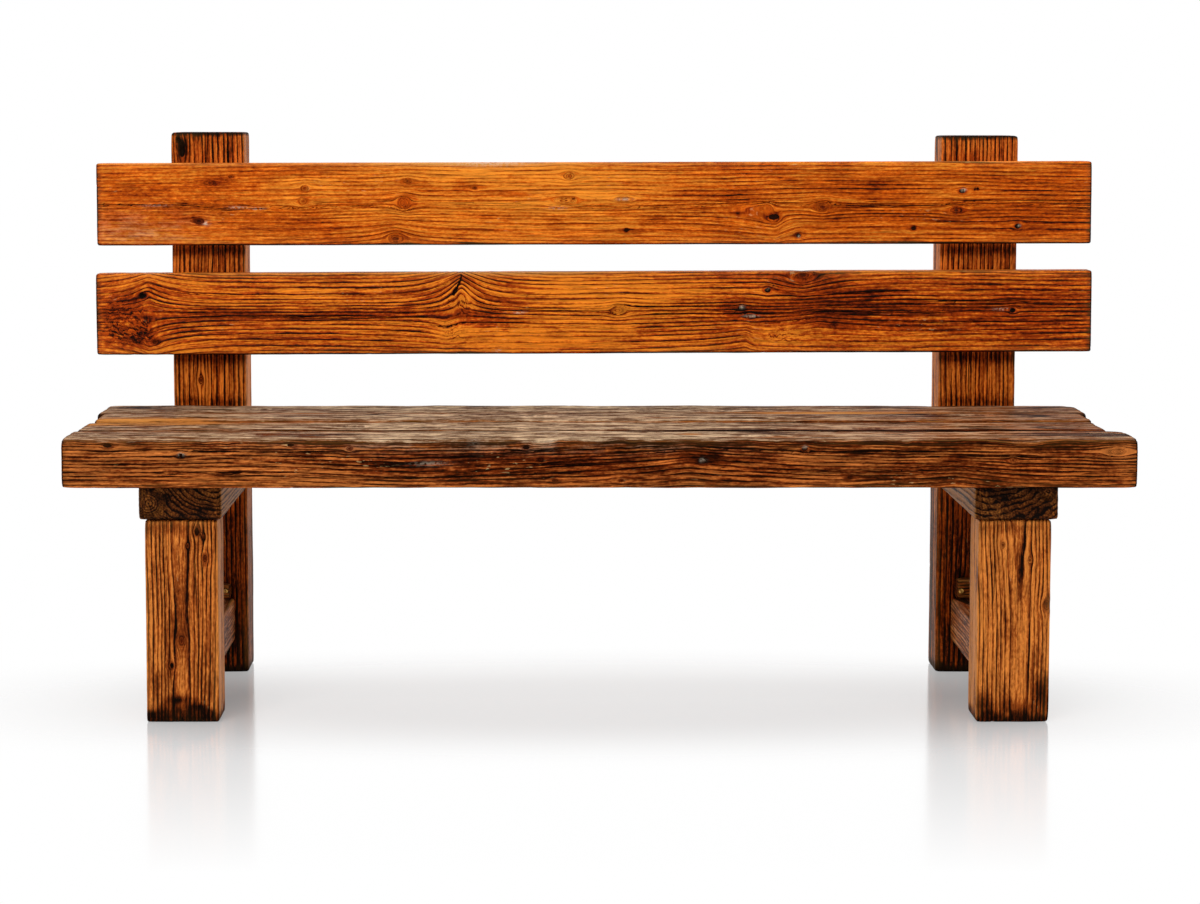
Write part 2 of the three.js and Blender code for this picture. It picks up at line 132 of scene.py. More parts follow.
class Patch(NamedTuple):
    """A soft-edged area: tone is darker above 0 and paler below, stain is dirt with, in places, painted
    shade, and silver is grey weathering with a painted sheen.

    Tan is bleached wood and, in places, painted highlight, and glint is a painted glint. Calm fades the
    rings up to 0.5 and curls them above.
    """
    along: float
    across: float
    reach_along: float
    reach_across: float
    tone: float = 0.0
    stain: float = 0.0
    silver: float = 0.0
    tan: float = 0.0
    calm: float = 0.0
    glint: float = 0.0
    on_edge: bool = False
    all_round: bool = False


class Recess(NamedTuple):
    """A round hole bored into the face opposite the shown one, for the head of a screw."""
    along: float
    across: float
    radius: float
    depth: float


class Timber(NamedTuple):
    """One piece of wood: the CAD node it stands for, how its grain lies, its finish and its marks.

    Low and high replace bounds of the CAD box where they are given. Hewn, worn and worn_edge are depths:
    of the hollows, of the wear on every arris and of the wear on the sat-on one. Feet and crown are how
    far dirt reaches in from the foot and the top, arch bends its line at the foot, and lid is how far
    painted shadow reaches in from the shown face. Ends is how dirty the ends are, silver how grey the top
    is, with a painted sheen, side_highlight how much painted light brightens the sides, and corner the radius
    of the one rounded corner.
    """
    node: str
    slot: str
    along: tuple
    across: tuple
    out: tuple
    cut: Cut
    arris: float
    low: tuple = None
    high: tuple = None
    step_along: float = 6.0
    step_across: float = 2.4
    hewn: float = 0.5
    worn: float = 1.2
    worn_edge: float = 0.0
    knots: tuple = ()
    swirls: tuple = ()
    cracks: tuple = ()
    patches: tuple = ()
    recesses: tuple = ()
    feet: float = 0.0
    arch: float = 0.0
    crown: float = 0.0
    ends: float = 0.0
    silver: float = 0.0
    side_highlight: float = 0.0
    face_shadow: float = 0.0
    corner: float = 0.0


# Smooth random numbers, the same on every run

HASH_STEPS = np.array([73856093, 19349663, 83492791], np.int64)
HASH_SEED = 2654435761
HASH_MIXERS = (2246822519, 3266489917)
HASH_MASK = 0xFFFFFFFF


def hashed(key):
    """One scattered number from -1 to 1 for each whole number."""
    key = key & HASH_MASK
    key = ((key ^ (key >> 15)) * HASH_MIXERS[0]) & HASH_MASK
    key = ((key ^ (key >> 13)) * HASH_MIXERS[1]) & HASH_MASK
    return (key ^ (key >> 16)) / (HASH_MASK / 2) - 1


def smooth_cells(places):
    """The cell that each place lies in, as a whole number, and how far across it the place is, eased."""
    low = np.floor(places)
    part = places - low
    return low.astype(np.int64), part * part * (3 - 2 * part)


def noise(points, cell, seed):
    """Smooth numbers from -1 to 1 that change over about one cell, given as its three lengths."""
    low, part = smooth_cells(points / np.asarray(cell, float))
    steps = low * HASH_STEPS
    total = np.zeros(len(points))
    for corner in np.ndindex(2, 2, 2):
        weight = np.ones(len(points))
        key = np.full(len(points), seed * HASH_SEED)
        for axis, far in enumerate(corner):
            weight = weight * (part[:, axis] if far else 1 - part[:, axis])
            key = key + steps[:, axis] + far * HASH_STEPS[axis]
        total += weight * hashed(key)
    return total


def noise_along(places, length, seed):
    """Smooth numbers from -1 to 1 along one direction."""
    low, part = smooth_cells(np.asarray(places) / length)
    key = low * HASH_STEPS[0] + seed * HASH_SEED
    return (1 - part) * hashed(key) + part * hashed(key + HASH_STEPS[0])


def bump_at(distance, reach):
    """1 at no distance, falling smoothly to nothing at about twice the reach."""
    return np.exp(-((distance / reach) ** 2))


# The lattice that every timber is modelled on

ARRIS_STEPS = 3
LONGEST_KNOT_STEP = 2.6
CLOSEST_LINES = 0.6
EXACT_CLEARANCE = 1.2


def lines_across(half, radius, step, fine_places, exact_places=()):
    """Grid lines from -half to half: close on the rounded arrises, even between, finer at given places.

    Lines that run too close to an exact place give way to one that runs through it.
    """
    arcs = (half - radius) + radius * np.tan(np.linspace(0, math.pi / 4, ARRIS_STEPS + 1))
    count = max(1, round(2 * (half - radius) / step))
    flat = np.linspace(radius - half, half - radius, count + 1)
    inner = [place for place in fine_places if abs(place) < half - radius - CLOSEST_LINES]
    wanted = np.sort(np.concatenate([flat, inner]))
    kept = [wanted[0]]
    for line in wanted[1:]:
        if line - kept[-1] >= CLOSEST_LINES * min(step, LONGEST_KNOT_STEP):
            kept.append(line)
    kept[-1] = half - radius
    exact = np.sort(np.array(exact_places, float))
    free = [line for line in kept if not len(exact) or np.abs(exact - line).min() >= EXACT_CLEARANCE]
    kept = np.sort(np.concatenate([free, exact]))
    return np.concatenate([-arcs[:0:-1], kept, arcs[1:]])


def grid_quads(number):
    """The quads between the neighbours in a grid of point numbers."""
    corners = (number[:-1, :-1], number[1:, :-1], number[1:, 1:], number[:-1, 1:])
    return np.stack(corners, axis=-1).reshape(-1, 4)


def box_lattice(lines):
    """The points on the surface of a block where grid lines meet, and the quads between them."""
    counts = [len(axis_lines) for axis_lines in lines]
    shell = np.zeros(counts, bool)
    for axis in range(3):
        ends = [slice(None)] * 3
        ends[axis] = [0, -1]
        shell[tuple(ends)] = True
    number = np.full(counts, -1)
    number[shell] = np.arange(shell.sum())
    where = np.argwhere(shell)
    points = np.stack([lines[axis][where[:, axis]] for axis in range(3)], axis=1)
    quads = []
    for axis in range(3):
        for end in (0, -1):
            face = grid_quads(np.take(number, end, axis=axis))
            turned = (axis == 1) == (end == -1)
            quads.append(face[:, ::-1] if turned else face)
    return points, np.concatenate(quads)


def rounded(points, half, radius):
    """The lattice points moved onto a block with rounded arrises, and the direction out of it at each."""
    core = np.clip(points, radius - half, half - radius)
    reach = points - core
    outward = reach / np.linalg.norm(reach, axis=1, keepdims=True)
    return core + radius * outward, outward


# Fields over a timber: rings, knots, cracks and marks

class Places(NamedTuple):
    """Points of a timber as distances from its lower left corner and from its shown face."""
    along: np.ndarray
    across: np.ndarray
    depth: np.ndarray
    size: np.ndarray


def second_place(places, on_edge):
    """The height on the lower edge face, or the place across the shown face."""
    return places.size[2] - places.depth if on_edge else places.across


def knot_offsets(places, knot):
    """Offsets from a knot's middle along and across the grain, in knot radii."""
    lean = 0.06 * (places.across if knot.on_edge else places.depth)
    along = (places.along - knot.along - lean) / (knot.radius * knot.stretch)
    across = (second_place(places, knot.on_edge) - knot.across) / knot.radius
    return along, across


SWIRL_TIP = 0.12
# How far onto the shown face the grain of the lower edge face makes itself felt
EDGE_SWING_REACH = 45


def grain_places(timber, places):
    """Places across and in depth after the grain has swung round the knots."""
    across = places.across.copy()
    height = places.size[2] - places.depth
    on_face = bump_at(places.across, EDGE_SWING_REACH)
    for swirl in timber.swirls:
        offset = second_place(places, swirl.on_edge) - swirl.across
        ahead = places.along - swirl.along
        reach = np.where(ahead > 0, swirl.after or swirl.reach_along, swirl.reach_along)
        share = np.exp(SWIRL_TIP - np.hypot(ahead / reach, SWIRL_TIP) - (offset / swirl.reach_across) ** 2)
        moved = share * (swirl.pinch * offset - swirl.rise)
        if swirl.on_edge:
            height += moved * on_face
        else:
            across += moved
    for knot in timber.knots:
        along_offset, across_offset = knot_offsets(places, knot)
        far = np.maximum(np.hypot(along_offset, across_offset) / knot.swell, 1.0)
        swing = across_offset * knot.radius / far ** 2
        if knot.on_edge:
            height -= swing * on_face
        else:
            across -= swing
    return across, places.size[2] - height


EYE_RINGS = 1.6
EYE_BLEND = 0.4
YEAR_SWING = 0.7
YEAR_SPAN = 3.7
RING_RIPPLE = 0.3
RING_RIPPLE_CELL = (260, 30, 30)


def ring_number(timber, places, across, depth):
    """How many rings lie between the heart and each point."""
    cut = timber.cut
    heart_across = cut.heart_across + cut.wander * noise_along(places.along, cut.wander_length, cut.seed)
    heart_depth = cut.heart_depth + cut.wander * noise_along(places.along, cut.wander_length, cut.seed + 1)
    heart_depth = heart_depth + cut.lean * places.along
    years = np.hypot(across - heart_across, depth - heart_depth) / cut.ring_width
    if cut.eye_radius:
        from_eye = np.hypot(across - cut.eye_across, depth - cut.eye_depth)
        share = np.clip((cut.eye_radius - from_eye) / (EYE_BLEND * cut.eye_radius), 0, 1)
        years = (1 - share) * years + share * EYE_RINGS * from_eye / cut.ring_width
    years = years + YEAR_SWING * noise_along(years, YEAR_SPAN, cut.seed + 2)
    at = np.stack([places.along, across, depth], axis=1)
    return years + RING_RIPPLE * noise(at, RING_RIPPLE_CELL, cut.seed + 3)


NOWHERE_NEAR = 99.0
KNOT_REACH = 4.0
KNOT_FADE = 2.2
EDGE_KNOT_DEPTH = 30


def nothing_near(places):
    """The distance to the nearest mark and its three values, before any mark has been looked at."""
    best = np.full(len(places.along), NOWHERE_NEAR)
    found = np.zeros((len(best), 3))
    found[:, 0] = best
    return best, found


def nearest_knot(timber, places):
    """Offsets from the nearest knot with its tone, and how near it is: 1 on it and 0 at a few radii."""
    best, found = nothing_near(places)
    for knot in timber.knots:
        along_offset, across_offset = knot_offsets(places, knot)
        far = np.hypot(along_offset, across_offset)
        if knot.on_edge:
            far = far + places.across / EDGE_KNOT_DEPTH
        closer = far < best
        best = np.where(closer, far, best)
        offsets = np.stack([along_offset, across_offset, np.full(len(best), knot.tone)], axis=1)
        found[closer] = offsets[closer]
    return found, np.clip((KNOT_REACH - best) / KNOT_FADE, 0, 1)


# Each effect draws from its own run of seeds, counted on from the seed of the timber's cut
END_SEEDS = 20
CRACK_SEEDS = 40
WEAR_SEEDS = 60
SAT_ON_SEEDS = 80
RELIEF_SEEDS = 90

CRACK_DRIFT_LENGTHS = (70, 17)
CRACK_BREAK_LENGTH = 34
CRACK_CLOSES_OVER = 9


def nearest_crack(timber, places, grain_across, grain_depth):
    """Distance to the nearest crack's line and the crack's half width there. Cracks follow the grain."""
    grain_height = places.size[2] - grain_depth
    best, found = nothing_near(places)
    slow_length, quick_length = CRACK_DRIFT_LENGTHS
    for number, crack in enumerate(timber.cracks):
        seed = timber.cut.seed + CRACK_SEEDS + number
        drift = crack.wander * noise_along(places.along, slow_length, seed)
        drift = drift + 0.3 * crack.wander * noise_along(places.along, quick_length, seed + 1)
        line = crack.across + crack.slope * (places.along - crack.start) + drift
        offset = (grain_height if crack.on_edge else grain_across) - line
        part = (places.along - crack.start) / (crack.end - crack.start)
        taper = np.clip(4 * part * (1 - part), -1, 1)
        broken = 0.55 + 0.55 * noise_along(places.along, CRACK_BREAK_LENGTH, seed + 2)
        inward = (places.across if crack.on_edge else places.depth) / CRACK_CLOSES_OVER
        width = crack.width / 2 * np.sign(taper) * np.abs(taper) ** 0.4 * broken - inward
        clear = np.abs(offset) - width
        closer = clear < best
        best = np.where(closer, clear, best)
        found[closer] = np.stack([offset, width, np.zeros(len(best))], axis=1)[closer]
    return found


PATCH_EFFECTS = ("tone", "stain", "silver", "tan", "calm", "glint")
EDGE_PATCH_FADE = 14
FACE_PATCH_FADE = 16


def patch_sums(timber, places):
    """Each effect at each point, summed over the timber's patches."""
    sums = {effect: np.zeros(len(places.along)) for effect in PATCH_EFFECTS}
    from_edge = bump_at(places.across, EDGE_PATCH_FADE)
    from_face = bump_at(places.depth, FACE_PATCH_FADE)
    for patch in timber.patches:
        along = (places.along - patch.along) / patch.reach_along
        across = (second_place(places, patch.on_edge) - patch.across) / patch.reach_across
        share = np.exp(-(along ** 2 + across ** 2))
        if patch.on_edge:
            share = share * from_edge
        elif not patch.all_round:
            share = share * from_face
        for effect in PATCH_EFFECTS:
            sums[effect] += getattr(patch, effect) * share
    return sums


RAGGED_CELLS = ((16, 11, 11), (7, 5, 5))


def end_stains(timber, places):
    """Damp that has risen from a foot, weathering that has soaked into a top, and painted shadow reaching in
    from the shown face.
    """
    at = np.stack([places.along * 0.5, places.across, places.depth], axis=1)
    seed = timber.cut.seed + END_SEEDS
    coarse_cell, fine_cell = RAGGED_CELLS
    ragged = noise(at, coarse_cell, seed) + 0.5 * noise(at, fine_cell, seed + 1)
    stain = np.zeros(len(places.along))
    if timber.feet:
        arch = 1 - (2 * places.across / places.size[1] - 1) ** 2
        height = timber.feet * (1 + timber.arch * arch + 0.45 * ragged)
        stain += np.clip(1.25 - places.along / height, 0, 1)
    if timber.crown:
        from_top = timber_length(places) - places.along
        stain += np.clip(1.2 - from_top / (timber.crown * (1 + 0.5 * ragged)), 0, 1)
    # Painted shadow reaching in from the shown face
    if timber.face_shadow:
        stain += np.clip(1.2 - places.depth / (timber.face_shadow * (1 + 0.4 * ragged)), 0, 1)
    return stain


def arris_marks(look, facing, outward):
    """Where arrises are rubbed bright, with a painted highlight on those that face up, and where they are
    dark: dirt at the ends, and dirt with painted shade on those that face down.
    """
    to_end = np.abs(outward[:, 0])
    rubbed_and_highlight = look * np.clip(0.45 + 0.7 * facing[:, 2], 0, 1) * (1 - to_end)
    dirt_and_shade = look ** 2 * (np.clip(-facing[:, 2], 0, 1) + 0.8 * np.clip(to_end - 0.15, 0, 1))
    return rubbed_and_highlight, dirt_and_shade


def grey_and_sheen_on_top(timber, facing, look):
    """How grey each point is where it faces up: grey weathering with a painted sheen."""
    return timber.silver * np.clip(1.6 * facing[:, 2] - 0.6, 0, 1) * (1 - 0.4 * look)


def timber_length(places):
    """A timber's length along its grain."""
    return places.size[0]


def from_ends(places):
    """How far each point is from the nearer end of its timber."""
    return np.minimum(places.along, timber_length(places) - places.along)


# Shape of a timber

# Far enough apart in the noise for each of a timber's twelve arrises to have its own wear
ARRIS_SPREAD = 300
ARRIS_FADE = 4.5
END_ARRIS_WEAR = 2.0
WEAR_CELLS = ((95, 40, 40), (21, 40, 40), (6, 40, 40))


def edge_wear(timber, points, half):
    """How far each point is pushed in from its arrises, as vectors, and how worn it looks from 0 to 1."""
    seed = timber.cut.seed + WEAR_SEEDS
    gap = half - np.abs(points)
    side = np.sign(points)
    push = np.zeros_like(points)
    look = np.zeros(len(points))
    for first, second in ((1, 2), (0, 2), (0, 1)):
        along = 3 - first - second
        near = np.exp(-(gap[:, first] + gap[:, second]) / (ARRIS_FADE + timber.worn))
        corner = (side[:, first] * ARRIS_SPREAD, side[:, second] * ARRIS_SPREAD)
        at = np.stack([points[:, along], *corner], axis=1)
        slow, quick, small = (
            noise(at, cell, seed + along + 3 * number) for number, cell in enumerate(WEAR_CELLS))
        nicks = np.clip(small - 0.45, 0, 1)
        depth = timber.worn * (0.55 + 0.6 * slow + 0.35 * quick + 2.2 * nicks)
        depth = np.clip(depth, 0, None) * near * (END_ARRIS_WEAR if first == 0 else 1.0)
        for axis in (first, second):
            push[:, axis] -= side[:, axis] * depth * 0.7
        look = np.maximum(look, near * np.clip(0.75 + 0.5 * slow + 0.4 * quick, 0, 1))
    return push, look


# Lengths over which the sat-on arris rises and falls, with the share of each
SAT_ON_WAVES = ((170, 0.4), (46, 0.36), (15, 0.22))
CHIP_LENGTH = 24
LEAST_AND_MOST_SAT_ON = (0.08, 1.8)
# How soon the wear down and the wear back fade, away from the edge face and away from the top
DOWN_FADES = (7, 9)
BACK_FADES = (9, 6)


def sat_on_edge(timber, points, half):
    """How far the shown face and the lower edge face have been rubbed away at the arris between them."""
    from_edge = half[1] + points[:, 1]
    from_top = half[2] - points[:, 2]
    seed = timber.cut.seed + SAT_ON_SEEDS
    depth = 0.5
    for number, (length, share) in enumerate(SAT_ON_WAVES):
        depth = depth + share * noise_along(points[:, 0], length, seed + number)
    painted_glints = np.clip(noise_along(points[:, 0], CHIP_LENGTH, seed + len(SAT_ON_WAVES)) - 0.4, 0, 1)
    depth = timber.worn_edge * np.clip(depth + 1.3 * painted_glints, *LEAST_AND_MOST_SAT_ON)
    push = np.zeros_like(points)
    for axis, share, (edge_fade, top_fade) in ((2, -1, DOWN_FADES), (1, 0.5, BACK_FADES)):
        push[:, axis] = share * depth * np.exp(-(from_edge / edge_fade) - (from_top / top_fade))
    return push


HEWN_CELL = (150, 38, 38)
RIPPLE_CELL = (34, 13, 13)
SOFTEST_IN_RING = 0.45
DEEPEST_CRACK = 2.2
END_GRAIN_RELIEF = 0.25


def relief(timber, places, outward, rings, knots, near, cracks):
    """How far the surface lies below the sawn face: hewn hollows, worn early wood, knots and cracks."""
    at = np.stack([places.along, places.across, places.depth], axis=1)
    seed = timber.cut.seed + RELIEF_SEEDS
    broad = 0.5 + 0.5 * noise(at, HEWN_CELL, seed)
    ripple = 0.5 + 0.5 * noise(at, RIPPLE_CELL, seed + 1)
    soft = np.clip(1.0 - np.abs(rings % 1 - SOFTEST_IN_RING) / 0.42, 0, 1)
    depth = timber.hewn * (0.75 * broad + 0.4 * ripple) + 0.55 * timber.hewn * soft
    far = np.hypot(knots[:, 0], knots[:, 1])
    depth = depth + near * (0.5 * bump_at(far - 1.0, 0.28) + 0.35 * (far < 1) * knots[:, 2])
    depth = depth + 0.9 * np.clip(cracks[:, 1] + 0.7 - np.abs(cracks[:, 0]), 0, DEEPEST_CRACK)
    return depth * (1 - (1 - END_GRAIN_RELIEF) * np.abs(outward[:, 0]))


PIT_WIDTH = 0.75
PIT_FADE = 12


def pit_depth(timber, places):
    """How deep the hollows of rotted and fallen knots are."""
    depth = np.zeros(len(places.along))
    for knot in timber.knots:
        inward = places.across if knot.on_edge else places.depth
        share = bump_at(np.hypot(*knot_offsets(places, knot)), PIT_WIDTH) * bump_at(inward, PIT_FADE)
        depth += knot.pit * share
    return depth


KNOT_LINES = np.arange(-1.5, 1.51, 0.3)
SMALL_KNOT = 4


def knot_lines(timber, half):
    """Grid lines along, across and in depth that let the knots have a true shape."""
    along, across, depth = [], [], []
    for knot in timber.knots:
        steps = KNOT_LINES[:: 1 if knot.radius > SMALL_KNOT else 2] * knot.radius
        along.extend(knot.along - half[0] + steps * knot.stretch)
        if knot.on_edge:
            depth.extend(knot.across - half[2] + steps)
        else:
            across.extend(knot.across - half[1] + steps)
    return along, across, depth


RECESS_WALL = 0.5
RECESS_MARGIN = 4.5


def recess_lines(timber, half):
    """Grid lines along and across that let the bored recesses have round, steep walls."""
    along, across = [], []
    for recess in timber.recesses:
        outer = recess.radius + RECESS_MARGIN
        inner = recess.radius - RECESS_WALL
        for line in (outer, recess.radius, inner, inner / 2, 0):
            for offset in (-line, line):
                along.append(recess.along - half[0] + offset)
                across.append(recess.across - half[1] + offset)
    return sorted(set(np.round(along, 3))), sorted(set(np.round(across, 3)))


ON_FACE = 0.01
SMALLEST = 1e-6


def bore_recesses(timber, points, half):
    """Moves the points round each recess onto circles, and gives how deep each point is sunk."""
    points = points.copy()
    sunk = np.zeros(len(points))
    on_face = points[:, 2] < ON_FACE - half[2]
    for recess in timber.recesses:
        centre = np.array([recess.along, recess.across]) - half[:2]
        offset = points[:, :2] - centre
        reach = np.abs(offset).max(axis=1)
        near = on_face & (reach < recess.radius + RECESS_MARGIN)
        to_circle = reach / np.maximum(np.linalg.norm(offset, axis=1), SMALLEST)
        share = np.clip((recess.radius + RECESS_MARGIN - reach) / RECESS_MARGIN, 0, 1)
        scale = 1 + share * (to_circle - 1)
        points[near, :2] = (centre + offset * scale[:, None])[near]
        sunk[near & (reach < recess.radius - RECESS_WALL / 2)] = recess.depth
    return points, sunk


def seat_corner(timber, points, half):
    """Rounds the far right corner of a board as seen from above."""
    if not timber.corner:
        return points
    centre = half[:2] - timber.corner
    reach = points[:, :2] - centre
    outside = (reach > 0).all(axis=1)
    length = np.maximum(np.linalg.norm(reach, axis=1), SMALLEST)
    bound = np.maximum(reach.max(axis=1), SMALLEST)
    share = np.where(outside, bound / length, 1.0)
    moved = points.copy()
    moved[:, :2] = np.where(outside[:, None], centre + reach * share[:, None], points[:, :2])
    return moved


END_SHARE = 0.9


def timber_axes(timber):
    """The timber's three directions as rows, turned a little where the CAD piece is fixed aslant."""
    axes = np.array([timber.along, timber.across, timber.out], float)
    if timber.along != RIGHT or timber.across != UP:
        return axes
    points = np.array([v.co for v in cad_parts[timber.node].data.vertices]) / MM
    reach = points[:, 0].max() * END_SHARE
    right_end = points[points[:, 0] > reach]
    left_end = points[points[:, 0] < -reach]
    if not len(right_end) or not len(left_end):
        return axes
    rise = np.ptp(points[:, 2]) - np.ptp(right_end[:, 2])
    slope = math.copysign(rise, right_end[:, 2].mean() - left_end[:, 2].mean()) / np.ptp(points[:, 0])
    return axes @ np.array(Matrix.Rotation(-math.atan(slope), 3, "Y")).T


def timber_block(timber):
    """The middle of the part of a timber that is modelled, half its size, and its directions."""
    low, high = (np.array(corner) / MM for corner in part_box(timber.node))
    for axis in range(3):
        if timber.low and timber.low[axis] is not None:
            low[axis] = timber.low[axis]
        if timber.high and timber.high[axis] is not None:
            high[axis] = timber.high[axis]
    axes = timber_axes(timber)
    straight = np.abs(np.round(axes))
    half = straight @ (high - low) / 2
    slope = abs(axes[0][2] / axes[0][0]) if axes[0][0] else 0
    if slope:
        half[1] = (half[1] - slope * half[0]) / (1 - slope ** 2)
        half[0] = half[0] - slope * half[1]
    return (low + high) / 2, half, axes


# How dark painted shade makes the bored recesses
RECESS_SHADE = 0.6
END_STAIN_REACH = 3
SIDE_CALM = 0.6


def timber_lattice(timber, half):
    """The points and quads of a timber before it is worn, with the way out and the bored depth at each."""
    along, across, depth = knot_lines(timber, half)
    exact_along, exact_across = recess_lines(timber, half)
    points, quads = box_lattice((
        lines_across(half[0], timber.arris, timber.step_along, along, exact_along),
        lines_across(half[1], timber.arris, timber.step_across, across, exact_across),
        lines_across(half[2], timber.arris, timber.step_across, depth),
    ))
    points, outward = rounded(points, half, timber.arris)
    points, sunk = bore_recesses(timber, points, half)
    return points, quads, outward, sunk


def colour_fields(timber, places, look, facing, outward, sunk):
    """The fields that colour a timber: tone, stain with painted shade, and rubbing with painted highlight;
    grey with painted sheen, tan with painted light, and calm; and painted glints.
    """
    sums = patch_sums(timber, places)
    rubbed_and_highlight, dirt_and_shade = arris_marks(look, facing, outward)
    on_end = outward[:, 0] ** 4
    stain = sums["stain"] + end_stains(timber, places) * (1 - 0.5 * on_end) + dirt_and_shade
    # Painted shade in the bored recesses
    stain = stain + RECESS_SHADE * (sunk > 0)
    stain = stain + timber.ends * bump_at(from_ends(places), END_STAIN_REACH) * (1 - on_end)
    silver = sums["silver"] + grey_and_sheen_on_top(timber, facing, look)
    # Painted light that brightens the side faces
    on_side = timber.side_highlight * facing[:, 0] ** 4
    weather = np.stack([silver, sums["tan"] + on_side, sums["calm"] + SIDE_CALM * on_side], axis=1)
    rubbed_and_highlight = rubbed_and_highlight * np.clip(1.1 - stain, 0, 1)
    return {
        "marks": np.stack([sums["tone"], np.clip(stain, 0, 1), rubbed_and_highlight], axis=1),
        "weather": np.clip(weather, 0, 1),
        "glint": np.clip(sums["glint"], 0, 1),
    }


def shape_timber(timber):
    """Models one timber and returns its points in the scene, its quads and its fields."""
    middle, half, axes = timber_block(timber)
    points, quads, outward, sunk = timber_lattice(timber, half)
    places = Places(points[:, 0] + half[0], points[:, 1] + half[1], half[2] - points[:, 2], 2 * half)
    grain_across, grain_depth = grain_places(timber, places)
    rings = ring_number(timber, places, grain_across, grain_depth)
    knots, near = nearest_knot(timber, places)
    cracks = nearest_crack(timber, places, grain_across, grain_depth)
    push, look = edge_wear(timber, points, half)
    push = push + sat_on_edge(timber, points, half)
    deep = relief(timber, places, outward, rings, knots, near, cracks) + pit_depth(timber, places)
    deep = np.where(sunk > 0, sunk, deep)
    points = np.clip(points + push - outward * deep[:, None], -half, half)
    points = seat_corner(timber, points, half)
    fields = {
        "ring": rings,
        "grain_at": np.stack([places.along, grain_across, grain_depth], axis=1) * MM,
        "knot_at": knots,
        "knot_near": near,
        "crack_at": cracks,
        **colour_fields(timber, places, look, outward @ axes, outward, sunk),
    }
    if np.linalg.det(axes) < 0:
        quads = quads[:, ::-1]
    return (middle + points @ axes) * MM, quads, fields


def add_fields(mesh, fields):
    """Stores each field on the mesh's points, for the materials to read."""
    for name, values in fields.items():
        if values.ndim == 1:
            attribute = mesh.attributes.new(name, "FLOAT", "POINT")
            attribute.data.foreach_set("value", values.astype(np.float32))
        else:
            attribute = mesh.attributes.new(name, "FLOAT_VECTOR", "POINT")
            attribute.data.foreach_set("vector", values.astype(np.float32).ravel())


def add_mesh(name, points, faces, fields=None):
    """A smooth-shaded mesh object in the scene."""
    mesh = bpy.data.meshes.new(name)
    mesh.from_pydata(points.tolist(), [], faces.tolist())
    mesh.shade_smooth()
    add_fields(mesh, fields or {})
    mesh.update()
    piece = bpy.data.objects.new(name, mesh)
    bpy.context.scene.collection.objects.link(piece)
    return piece


def make_timber(timber):
    """Adds a timber to the scene in place of its CAD node."""
    piece = add_mesh("worn_" + timber.node, *shape_timber(timber))
    piece.data.materials.append(finish_material(timber.slot))
    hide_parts(timber.node)
    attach(piece, BODY)


# Materials

# Sockets of the colour mix node: its share and two colours, and its result
MIX_INPUTS = (0, 6, 7)
MIX_RESULT = 2


def opaque(colour):
    """A colour as a socket takes it, or the socket that gives it."""
    return colour if isinstance(colour, bpy.types.NodeSocket) else (*colour[:3], 1.0)


